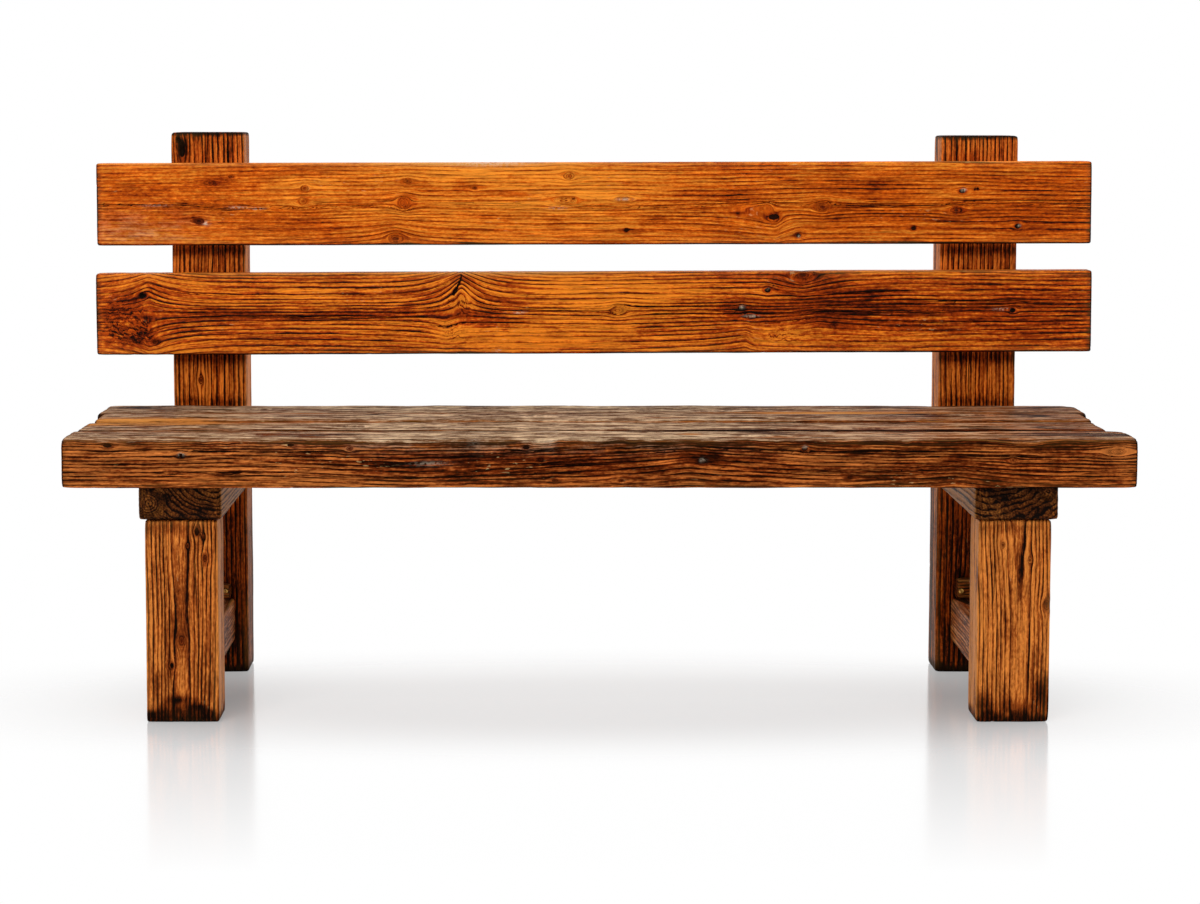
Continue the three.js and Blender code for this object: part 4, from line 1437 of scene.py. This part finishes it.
BOARD_PATCHES = {
    "second": (
        whole_length(0, 11, stain=0.9, silver=-0.6),
        Patch(1150, 0, 420, 17, stain=0.9, silver=-0.8),
        rubbed_patch(70, 88, 150, 22),
        Patch(230, 104, 160, 8, tone=-0.35, silver=-1.0, tan=0.1),
        Patch(1530, 6, 80, 12, tone=-0.4, silver=-1.1),
        Patch(897, 80, 14, 5, glint=0.45),
        Patch(584, 38, 18, 6, glint=0.4),
        Patch(640, 70, 60, 16, tone=0.3, calm=0.7),
    ),
    "third": (
        whole_length(0, 7, stain=0.3),
        rubbed_patch(60, 8, 110, 16),
        rubbed_patch(1168, 86, 150, 7),
        Patch(400, 88, 240, 6, tone=-0.3, silver=-1.0, tan=0.1),
        Patch(860, 30, 80, 8, tone=-0.3, silver=-0.5),
        Patch(1300, 40, 70, 16, tone=0.3, calm=0.7),
    ),
    "rear": (
        whole_length(0, 12, stain=0.9, silver=-0.6),
        Patch(950, 0, 400, 17, stain=0.9, silver=-0.8),
        Patch(1175, 5, 150, 15, tone=-0.45, stain=-1.8, silver=-1.3, tan=1.0),
    ),
}


def board_knots(board):
    """A few knots on the top of a seat board, where nothing in the photograph fixes them."""
    places = {
        "second": ((420, 50), (1210, 30)),
        "third": ((700, 44), (1390, 60)),
        "rear": ((260, 62), (980, 40)),
    }
    return tuple(Knot(along, across, 8, 1.9, 1.8, 0.5, 0.8) for along, across in places[board])


def board_cracks(board):
    """Drying cracks along the top of a seat board."""
    places = {
        "second": ((-30, 380, 70), (300, 720, 34), (880, 1290, 78), (1200, 1610, 52)),
        "third": ((60, 480, 30), (560, 930, 62), (900, 1380, 26), (1300, 1600, 70)),
        "rear": ((-30, 300, 50), (380, 860, 84), (800, 1240, 60), (1180, 1620, 30)),
    }
    return tuple(Crack(start, end, across, 3.2, 0.0, 5.0) for start, end, across in places[board])


def slats():
    """The two slats of the back."""
    common = dict(step_along=6.4, step_across=2.3, ends=1.0)
    upper = Timber(
        "upper_back_slat", "upper_slat_wood", RIGHT, UP, FRONT, Cut(-190, 60, 6.5, 3, 420, seed=11),
        arris=3.4, hewn=0.3, worn=0.7, knots=UPPER_SLAT_KNOTS, swirls=UPPER_SLAT_SWIRLS,
        cracks=UPPER_SLAT_CRACKS, patches=UPPER_SLAT_PATCHES, **common,
    )
    lower = Timber(
        "lower_back_slat", "lower_slat_wood", RIGHT, UP, FRONT, Cut(290, 45, 7.0, 4, 380, seed=23),
        arris=3.6, hewn=0.6, worn=1.0, knots=LOWER_SLAT_KNOTS, swirls=LOWER_SLAT_SWIRLS,
        cracks=LOWER_SLAT_CRACKS, patches=LOWER_SLAT_PATCHES, **common,
    )
    return [upper, lower]


def seat_boards():
    """The four boards of the seat, front to rear."""
    # Silver greys the tops of the seat boards, with a painted sheen
    common = dict(arris=3.6, step_along=6.5, step_across=3.0, hewn=1.2, worn=1.8, silver=0.85, ends=0.8)
    front = Timber(
        "seat_board_front", "seat_wood", RIGHT, BACK, UP, Cut(60, 170, 4.9, 4, 300, seed=31),
        knots=SEAT_FRONT_KNOTS, swirls=SEAT_FRONT_SWIRLS, cracks=SEAT_FRONT_CRACKS,
        patches=SEAT_FRONT_PATCHES, worn_edge=5.0, **{**common, "step_across": 2.6},
    )
    rest = []
    for number, (board, patches) in enumerate(BOARD_PATCHES.items()):
        node = "seat_board_" + board
        rest.append(Timber(
            node, "seat_wood", RIGHT, BACK, UP,
            Cut(40 + 20 * number, 110 + 16 * number, 5.0, 7, 320, seed=41 + 7 * number),
            knots=board_knots(board), cracks=board_cracks(board), worn_edge=2.0,
            patches=(PALER_MIDDLE, BROWNER_END, *patches), corner=28.0 if board == "rear" else 0.0,
            **common,
        ))
    return [front, *rest]


# Heights at which the slats end and the seat meets the posts, where shade is painted on the posts
SLAT_SHADOWS = (703, 526)
SEAT_SHADOW = 452


def post_patches():
    """Dirt and painted shade where the slats and the seat meet a post, and painted shade on its lower part.
    """
    return (
        # Dirt and painted shade just below the slats and at the seat
        *(Patch(height, 60, 9, ALL_ACROSS, stain=0.5) for height in SLAT_SHADOWS),
        Patch(SEAT_SHADOW, 60, 10, ALL_ACROSS, stain=0.4),
        Patch(880, 60, 34, ALL_ACROSS, tone=0.2, all_round=True),
        # Painted shade on the lower part of the post, below the seat
        Patch(230, 60, 130, ALL_ACROSS, tone=0.44, all_round=True),
        Patch(40, 60, 110, ALL_ACROSS, tone=0.5, all_round=True),
    )


# Radius and depth of the recesses for the coach screws and for the seat screws
WASHER_RECESS = (12.5, 12)
SCREW_RECESS = (7, 15)


def recesses(start, node, axis, size):
    """Recesses of one size in a timber, at the CAD nodes whose names start as given."""
    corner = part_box(node)[0] / MM
    boxes = [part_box(name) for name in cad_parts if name.startswith(start)]
    middles = [(low + high) / 2 / MM for low, high in boxes]
    return tuple(Recess(middle[axis] - corner[axis], middle.x - corner.x, *size) for middle in middles)


def post_recesses(side):
    """The recesses in a post's back, round the washers of its coach screws."""
    return recesses("washer_" + side, side + "_post", 2, WASHER_RECESS)


def bearer_recesses(side):
    """The recesses in a bearer's underside, round the heads of the seat screws."""
    return recesses("seat_screw_" + side, side + "_seat_bearer", 1, SCREW_RECESS)


def posts():
    """The two rear posts, which carry the back."""
    common = dict(step_along=5.0, step_across=2.6, hewn=0.7, worn=1.3, feet=14, side_highlight=0.45)
    left = Timber(
        "left_post", "post_wood", UP, RIGHT, FRONT, Cut(175, 40, 6.4, 3, 260, seed=61), 3.6, crown=5,
        knots=(Knot(868, 19, 4.5, 2.3, 1.3, 1.2, 3.0), Knot(884, 13, 2.4, 1.5, 1.3, 1.2, 2.0),
               Knot(640, 80, 3, 2.0, 1.5, 0.6, 0.6), Knot(488, 46, 3, 2.0, 1.5, 0.6, 0.6),
               Knot(180, 60, 4, 2.0, 1.5, 0.5, 0.6)),
        cracks=(Crack(840, 900, 60, 1.2), Crack(800, 910, 92, 1.0), Crack(450, 560, 70, 1.0)),
        patches=(Patch(866, 16, 22, 9, stain=0.35, calm=0.6), Patch(470, 56, 40, 14, tone=-0.2),
                 *post_patches()),
        recesses=post_recesses("left"),
        **common,
    )
    right = Timber(
        "right_post", "post_wood", UP, RIGHT, FRONT, Cut(-60, 55, 7.0, 3, 280, seed=71), 3.6, crown=5,
        knots=(Knot(760, 80, 3, 2.0, 1.5, 0.6, 0.6), Knot(560, 40, 3, 2.0, 1.5, 0.6, 0.6),
               Knot(150, 52, 4, 2.0, 1.5, 0.5, 0.6)),
        cracks=(Crack(850, 900, 40, 1.2), Crack(800, 900, 76, 1.0), Crack(440, 560, 50, 0.9)),
        patches=(Patch(872, 60, 14, 70, tone=-0.15), *post_patches()),
        recesses=post_recesses("right"),
        **common,
    )
    return [left, right]


def under_bearer(node):
    """The height at which the shown part of a leg ends: its tenon goes on into the bearer."""
    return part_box(node)[0].z / MM - FIT_GAP


LEFT_LEG_PATCHES = (
    Patch(160, 56, 200, ALL_ACROSS, tone=0.13),
    Patch(215, 56, 90, 9, tone=0.16, calm=0.5),
    # Painted shadow at the top of the leg, under the bearer
    Patch(300, 56, 10, ALL_ACROSS, tone=0.2),
    Patch(10, 8, 9, 12, stain=0.9),
    Patch(36, 50, 6, 22, stain=0.7),
    Patch(24, 80, 5, 14, stain=0.7),
    Patch(14, 96, 6, 10, stain=0.9),
    Patch(84, 40, 14, 6, tone=0.4),
    Patch(60, 14, 20, 14, tone=0.2),
)
RIGHT_LEG_PATCHES = (
    # Painted shadow at the top of the leg, under the bearer
    Patch(300, 56, 7, ALL_ACROSS, tone=0.2),
    Patch(44, 104, 26, 16, stain=0.8),
    Patch(30, 10, 20, 14, stain=0.7),
    Patch(18, 56, 16, 60, stain=0.4),
    Patch(181, 106, 14, 8, tone=0.3),
    Patch(150, 60, 110, 12, tone=0.08, calm=0.5),
)


def front_legs():
    """The two front legs, up to the bearers that sit on them."""
    common = dict(step_along=3.6, step_across=2.4, hewn=0.7, worn=1.2, arris=3.6, side_highlight=0.5)
    left = Timber(
        "left_front_leg", "leg_wood", UP, RIGHT, FRONT, Cut(57, 20, 5.4, 3, 150, seed=81),
        high=(None, None, under_bearer("left_seat_bearer")), feet=15, arch=1.2,
        knots=(Knot(294, 80, 3, 1.7, 1.5, 1.1, 0.8), Knot(286, 90, 2.2, 1.7, 1.5, 0.9, 0.6),
               Knot(272, 66, 2, 1.7, 1.5, 0.9, 0.6), Knot(253, 92, 2.5, 1.7, 1.5, 0.7, 0.6),
               Knot(126, 55, 3.5, 1.9, 1.6, 0.8, 0.8), Knot(88, 40, 2.4, 1.5, 1.4, 1.2, 1.4)),
        cracks=(Crack(60, 170, 38, 1.0), Crack(120, 300, 30, 0.8), Crack(180, 320, 78, 0.8)),
        patches=LEFT_LEG_PATCHES,
        **common,
    )
    right = Timber(
        "right_front_leg", "leg_wood", UP, RIGHT, FRONT, Cut(64, 24, 5.8, 4, 170, lean=-0.03, seed=91),
        high=(None, None, under_bearer("right_seat_bearer")), feet=15,
        knots=(Knot(181, 106, 4, 1.7, 1.6, 0.9, 1.0), Knot(273, 38, 2.4, 1.8, 1.6, 0.5, 0.6),
               Knot(250, 79, 2.4, 1.8, 1.6, 0.5, 0.6)),
        cracks=(Crack(10, 120, 44, 0.7), Crack(190, 320, 26, 0.7)),
        patches=RIGHT_LEG_PATCHES,
        **common,
    )
    return [left, right]


def post_front(side):
    """Where a side frame's rails end against the post's front face."""
    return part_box(side + "_post")[0].y / MM - FIT_GAP


def bearers():
    """The two bearers that carry the seat, from their noses to the posts."""
    hearts = {
        "left": Cut(120, -34, 7.6, 4, 200, seed=101, eye_across=18, eye_depth=30, eye_radius=26),
        "right": Cut(30, -60, 9.0, 6, 200, seed=111, eye_across=110, eye_depth=12, eye_radius=14),
    }
    end_tones = {"left": (), "right": (Patch(0, 60, 16, ALL_ACROSS, tone=0.26),)}
    return [
        Timber(
            side + "_seat_bearer", "bearer_wood", BACK, RIGHT, UP, hearts[side], 5.0,
            high=(None, post_front(side), None), step_along=4.0, step_across=2.4, hewn=0.8, worn=1.8,
            # Lid paints shadow on the top of the bearer where the seat covers it; side_highlight is painted
            # light
            knots=(Knot(150, 64, 6, 1.8, 1.8, 0.5, 0.6),), side_highlight=0.45, face_shadow=9.0,
            patches=(Patch(0, 16, 20, 14, calm=0.68), *end_tones[side]), recesses=bearer_recesses(side),
        )
        for side in SIDES
    ]


def stretchers():
    """The low side rails between front leg and post."""
    rails = []
    for number, side in enumerate(SIDES):
        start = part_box(side + "_front_leg")[1].y / MM + FIT_GAP
        rails.append(Timber(
            side + "_side_stretcher", "stretcher_wood", BACK, RIGHT, UP,
            Cut(36, 84, 4.8, 5, 180, seed=121 + 9 * number), 5.0,
            low=(None, start, None), high=(None, post_front(side), None),
            step_along=4.0, step_across=2.6, hewn=0.8, worn=1.8, side_highlight=0.3,
            knots=(Knot(120 + 30 * number, 40, 5, 1.8, 1.8, 0.5, 0.6),),
            cracks=(Crack(-20, 160, 30, 1.0), Crack(90, 300, 52, 1.0)),
            patches=(Patch(140, 40, 400, ALL_ACROSS, tone=0.34, silver=0.35, all_round=True),),
        ))
    return rails


def corner_blocks():
    """The small blocks that stand in the corners of stretchers and posts."""
    return [
        Timber(
            side + "_corner_block", "block_wood", RIGHT, UP, FRONT,
            Cut(-20, 40, 3.6, 3, 60, seed=141 + number), 3.0,
            step_along=2.4, step_across=1.6, hewn=0.5, worn=1.2, silver=0.4,
            patches=(Patch(30, 15, 100, 100, tone=0.55, all_round=True),),
        )
        for number, side in enumerate(SIDES)
    ]


# Settings that a user would change

def colour_setting(name, description, colour):
    """A colour property with its default."""
    return FloatVectorProperty(
        name=name, description=description, default=colour, size=3, min=0, max=1, subtype="COLOR")


class BenchColours(bpy.types.PropertyGroup):
    """The colours of the bench's woods, metals and stage."""
    upper_pale: colour_setting("Upper slat, pale", "Early wood of the upper slat", to_linear(244, 144, 42))
    upper_body: colour_setting("Upper slat, body", "Main colour of the upper slat", to_linear(204, 90, 10))
    upper_dark: colour_setting("Upper slat, dark", "Late wood of the upper slat", to_linear(132, 41, 0))
    lower_pale: colour_setting("Lower slat, pale", "Early wood of the lower slat", to_linear(246, 140, 36))
    lower_body: colour_setting("Lower slat, body", "Main colour of the lower slat", to_linear(180, 68, 8))
    lower_dark: colour_setting("Lower slat, dark", "Late wood of the lower slat", to_linear(84, 20, 0))
    seat_pale: colour_setting("Seat, pale", "Early wood of the seat", to_linear(182, 104, 47))
    seat_body: colour_setting("Seat, body", "Main colour of the seat", to_linear(106, 42, 11))
    seat_dark: colour_setting("Seat, dark", "Late wood of the seat", to_linear(40, 10, 1))
    leg_pale: colour_setting("Legs, pale", "Early wood of the front legs", to_linear(222, 132, 56))
    leg_body: colour_setting("Legs, body", "Main colour of the front legs", to_linear(146, 69, 22))
    leg_dark: colour_setting("Legs, dark", "Late wood of the front legs", to_linear(84, 32, 6))
    post_pale: colour_setting("Posts, pale", "Early wood of the posts", to_linear(230, 126, 42))
    post_body: colour_setting("Posts, body", "Main colour of the posts", to_linear(160, 66, 14))
    post_dark: colour_setting("Posts, dark", "Late wood of the posts", to_linear(62, 18, 1))
    bearer_pale: colour_setting("Bearers, pale", "Early wood of the bearers", to_linear(146, 88, 34))
    bearer_body: colour_setting("Bearers, body", "Main colour of the bearers", to_linear(84, 42, 14))
    bearer_dark: colour_setting("Bearers, dark", "Late wood of the bearers", to_linear(22, 6, 0))
    steel: colour_setting("Steel", "Coach screws, washers and seat screws", to_linear(150, 146, 140))
    rust: colour_setting("Rust", "Rust on the steel", to_linear(96, 52, 28))
    brass: colour_setting("Brass", "Screws of the corner blocks", to_linear(226, 176, 88))
    tarnish: colour_setting("Tarnish", "Tarnish on the brass", to_linear(140, 92, 40))
    floor: colour_setting("Floor", "The pale floor", (0.93, 0.93, 0.93))


class StageSettings(bpy.types.PropertyGroup):
    """Camera, lamps and floor."""
    lens: FloatProperty(name="Lens", description="Focal length, in mm", default=75.953, min=10)
    eye: FloatVectorProperty(
        name="Camera place", description="Where the camera stands", default=(-0.0892, -3.9785, 0.915),
        subtype="XYZ", unit="LENGTH")
    pitch: FloatProperty(
        name="Look down", description="How far the camera looks down", default=math.radians(4.508),
        subtype="ANGLE")
    turn: FloatProperty(
        name="Turn right", description="How far the camera is turned", default=math.radians(0.018),
        subtype="ANGLE")
    shift_x: FloatProperty(name="Shift right", description="Lens shift in frame widths", default=0.05)
    shift_y: FloatProperty(name="Shift up", description="Lens shift in frame widths", default=-0.11)
    sky: FloatProperty(name="Sky", description="Strength of the even light all round", default=0.62, min=0)
    key: FloatProperty(name="Key lamp", description="Power of the large front lamp", default=62, unit="POWER")
    top: FloatProperty(name="Top lamp", description="Power of the lamp above", default=26, unit="POWER")
    floor_size: FloatProperty(name="Floor", description="Width of the floor", default=24, unit="LENGTH")


SHADES = ("pale", "body", "dark")


def finish_in(kind, **character):
    """A finish in the three colours that are set for one kind of timber."""
    colours = bpy.context.scene.bench_colours
    return Finish(*(tuple(getattr(colours, kind + "_" + shade)) for shade in SHADES), **character)


def wood_finishes():
    """The finish of every kind of timber, from the colours as they are set."""
    leg = finish_in(
        "leg", grain=0.95, level=0.04, streaks=0.25, fibres=0.8, wobble=0.1, sheen=0.02, coat=0.02,
        flecks=0.2)
    post = finish_in(
        "post", grain=1.0, level=0.07, streaks=0.35, fibres=0.8, wobble=0.12, sheen=0.02, coat=0.02,
        worn_share=0.5, flecks=0.1)
    return {
        "upper_slat_wood": finish_in(
            "upper", grain=0.52, level=0.155, streaks=0.24, fibres=0.52, clouds=0.6),
        "lower_slat_wood": finish_in(
            "lower", grain=0.88, level=0.11, streaks=0.36, fibres=0.75, clouds=0.55),
        "seat_wood": finish_in(
            "seat", grain=0.8, level=0.14, streaks=0.4, fibres=1.0, clouds=0.5, wobble=0.2, rough=0.5,
            sheen=0.006, threads=2.0, worn=SEAT_WORN_HIGHLIGHT, worn_share=0.6, flecks=0.4),
        "bearer_wood": finish_in(
            "bearer", grain=0.8, level=0.22, streaks=0.3, fibres=0.5, wobble=0.9, rough=0.5,
            worn_share=0.2, flecks=0.0),
        "leg_wood": leg,
        "block_wood": leg,
        "post_wood": post,
        "stretcher_wood": post,
    }


def finish_material(slot):
    """The material of one kind of timber, made on first use."""
    name = "worn_" + slot
    return bpy.data.materials.get(name) or wood_material(name, wood_finishes()[slot])


# Operators

def make_timbers(timbers):
    """Adds several timbers, each in place of its CAD node."""
    for timber in timbers:
        make_timber(timber)


class BENCH_OT_slats(bpy.types.Operator):
    """Make the two slats of the back"""
    bl_idname = "bench.slats"
    bl_label = "Back slats"

    def execute(self, context):
        make_timbers(slats())
        return {"FINISHED"}


class BENCH_OT_seat(bpy.types.Operator):
    """Make the four boards of the seat"""
    bl_idname = "bench.seat"
    bl_label = "Seat boards"

    def execute(self, context):
        make_timbers(seat_boards())
        return {"FINISHED"}


class BENCH_OT_uprights(bpy.types.Operator):
    """Make the posts and the front legs"""
    bl_idname = "bench.uprights"
    bl_label = "Posts and legs"

    def execute(self, context):
        make_timbers(posts() + front_legs())
        return {"FINISHED"}


class BENCH_OT_rails(bpy.types.Operator):
    """Make the bearers, side stretchers and corner blocks"""
    bl_idname = "bench.rails"
    bl_label = "Bearers, stretchers and blocks"

    def execute(self, context):
        make_timbers(bearers() + stretchers() + corner_blocks())
        return {"FINISHED"}


class BENCH_OT_fixings(bpy.types.Operator):
    """Finish the pegs, screws and washers"""
    bl_idname = "bench.fixings"
    bl_label = "Pegs and screws"

    def execute(self, context):
        colours = context.scene.bench_colours
        steel = metal_material("screw_steel", colours.steel, colours.rust, 0.35)
        brass = metal_material("screw_brass", colours.brass, colours.tarnish, 0.25)
        peg = peg_material()
        for name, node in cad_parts.items():
            if "peg" in name:
                dress(node, peg)
            elif "block_screw" in name:
                dress(node, brass)
            elif "screw" in name or "washer" in name:
                dress(node, steel)
        return {"FINISHED"}


def dress(node, material):
    """Gives a CAD node its material."""
    node.data.materials.clear()
    node.data.materials.append(material)


def peg_material():
    """End grain and sides of the wooden pegs, in the colours of the legs."""
    colours = finish_in("leg")
    shader = Shader(bpy.data.materials.new("peg_wood"))
    rings = shader.noise(shader.place(), *PEG_RINGS)
    return shader.surface({
        "Base Color": shader.ramp(rings, [(0.3, colours.pale), (0.5, colours.body), (0.7, colours.dark)]),
        "Roughness": shader.weighted(rings, 0.3, 0.4),
        "Normal": shader.bump(rings, 0.6 * MM, 0.5),
        "Coat Weight": 0.15,
    })


WHITE = (1, 1, 1, 1)
FLOOR_CELLS = 24
# The middle of the shadow's pool on the floor, and how fast the floor turns white round it
POOL_SHIFT = (0, 0.04, 0)
POOL_NARROWING = (0.72, 2.3, 0)


def floor_material(colour):
    """A pale, slightly glossy floor that keeps the bench's shadow and turns white away from it."""
    shader = Shader(bpy.data.materials.new("floor"))
    place = shader.place()
    pool = shader.vector("MULTIPLY", shader.vector("ADD", place, POOL_SHIFT), POOL_NARROWING)
    far = shader.vector("LENGTH", pool, output="Value")
    diffuse = shader.add("ShaderNodeBsdfDiffuse", {"Color": opaque(colour)}).outputs[0]
    white = shader.add("ShaderNodeEmission", {"Color": WHITE, "Strength": 1.0}).outputs[0]
    share = shader.product(shader.between(far, 0.3, 1.0, 0.3, 1.0), shader.seen_or_mirrored())
    matt = shader.add("ShaderNodeMixShader", {0: share, 1: diffuse, 2: white}).outputs[0]
    rough = shader.weighted(shader.noise(place, *FLOOR_GRAIN), 0.05, 0.1)
    glossy = shader.add("ShaderNodeBsdfGlossy", {"Color": WHITE, "Roughness": rough}).outputs[0]
    forward = shader.parts(place)[1]
    near = shader.between(forward, -0.95, 0.0, 0.0, 0.46, smooth=False)
    mirror = shader.product(near, shader.between(forward, 0.25, 0.9, 1.0, 0.1))
    return shader.finish(shader.add("ShaderNodeMixShader", {0: mirror, 1: matt, 2: glossy}))


def make_floor(size, colour):
    """A flat floor under the bench, as a mesh of even cells."""
    ticks = np.linspace(-size / 2, size / 2, FLOOR_CELLS + 1)
    x, y = np.meshgrid(ticks, ticks, indexing="ij")
    points = np.stack([x.ravel(), y.ravel(), np.zeros(x.size)], axis=1)
    floor = add_mesh("floor", points, grid_quads(np.arange(x.size).reshape(x.shape)))
    floor.data.materials.append(floor_material(colour))


def make_sky(strength):
    """An even white world that lights the bench softly and shows pure white behind it."""
    world = bpy.data.worlds.new("even_sky")
    bpy.context.scene.world = world
    shader = Shader(world)
    seen = shader.seen_or_mirrored()
    lit, shown = (
        shader.add("ShaderNodeBackground", {"Color": WHITE, "Strength": level}).outputs[0]
        for level in (strength, 1.0)
    )
    both = shader.add("ShaderNodeMixShader", {0: seen, 1: lit, 2: shown})
    shader.finish(both, "ShaderNodeOutputWorld")


# Place, target and size of each lamp
LAMPS = {
    "key": ((-1.6, -3.2, 3.0), (0, 0, 0.5), (2.6, 1.8)),
    "top": ((0.1, 0.5, 2.9), (0, 0, 0.4), (2.8, 1.2)),
}
SENSOR_WIDTH = 36


def add_lamp(name, power):
    """A soft rectangular lamp aimed at the bench."""
    place, target, size = LAMPS[name]
    data = bpy.data.lights.new(name, "AREA")
    data.shape = "RECTANGLE"
    data.size, data.size_y = size
    data.energy = power
    lamp = bpy.data.objects.new(name, data)
    lamp.location = place
    lamp.rotation_euler = (Vector(target) - Vector(place)).to_track_quat("-Z", "Y").to_euler()
    bpy.context.scene.collection.objects.link(lamp)


def add_camera(settings):
    """The camera of the photograph's view."""
    data = bpy.data.cameras.new("camera")
    data.lens = settings.lens
    data.sensor_width = SENSOR_WIDTH
    data.shift_x = settings.shift_x
    data.shift_y = settings.shift_y
    camera = bpy.data.objects.new("camera", data)
    camera.location = settings.eye
    camera.rotation_euler = (math.pi / 2 - settings.pitch, 0, -settings.turn)
    bpy.context.scene.collection.objects.link(camera)
    bpy.context.scene.camera = camera


class BENCH_OT_stage(bpy.types.Operator):
    """Make the floor, sky, lamps and camera"""
    bl_idname = "bench.stage"
    bl_label = "Stage"

    def execute(self, context):
        settings = context.scene.bench_stage
        make_floor(settings.floor_size, context.scene.bench_colours.floor)
        make_sky(settings.sky)
        add_lamp("key", settings.key)
        add_lamp("top", settings.top)
        add_camera(settings)
        context.scene.view_settings.view_transform = "Standard"
        return {"FINISHED"}


class BENCH_PT_panel(bpy.types.Panel):
    """Lists the bench's makers and settings"""
    bl_idname = "BENCH_PT_panel"
    bl_label = "Rustic plank bench"
    bl_space_type = "VIEW_3D"
    bl_region_type = "UI"
    bl_category = "Bench"

    def draw(self, context):
        for operator in OPERATORS:
            self.layout.operator(operator.bl_idname)
        for group in (context.scene.bench_colours, context.scene.bench_stage):
            box = self.layout.box()
            for name in group.__annotations__:
                box.prop(group, name)


OPERATORS = (
    BENCH_OT_slats, BENCH_OT_seat, BENCH_OT_uprights, BENCH_OT_rails, BENCH_OT_fixings, BENCH_OT_stage,
)
CLASSES = (BenchColours, StageSettings, *OPERATORS, BENCH_PT_panel)


def register():
    for each in CLASSES:
        bpy.utils.register_class(each)
    bpy.types.Scene.bench_colours = PointerProperty(type=BenchColours)
    bpy.types.Scene.bench_stage = PointerProperty(type=StageSettings)


def unregister():
    del bpy.types.Scene.bench_stage
    del bpy.types.Scene.bench_colours
    for each in reversed(CLASSES):
        bpy.utils.unregister_class(each)


def main():
    register()
    bpy.ops.bench.slats()
    bpy.ops.bench.seat()
    bpy.ops.bench.uprights()
    bpy.ops.bench.rails()
    bpy.ops.bench.fixings()
    bpy.ops.bench.stage()


if __name__ == "__main__":
    main()
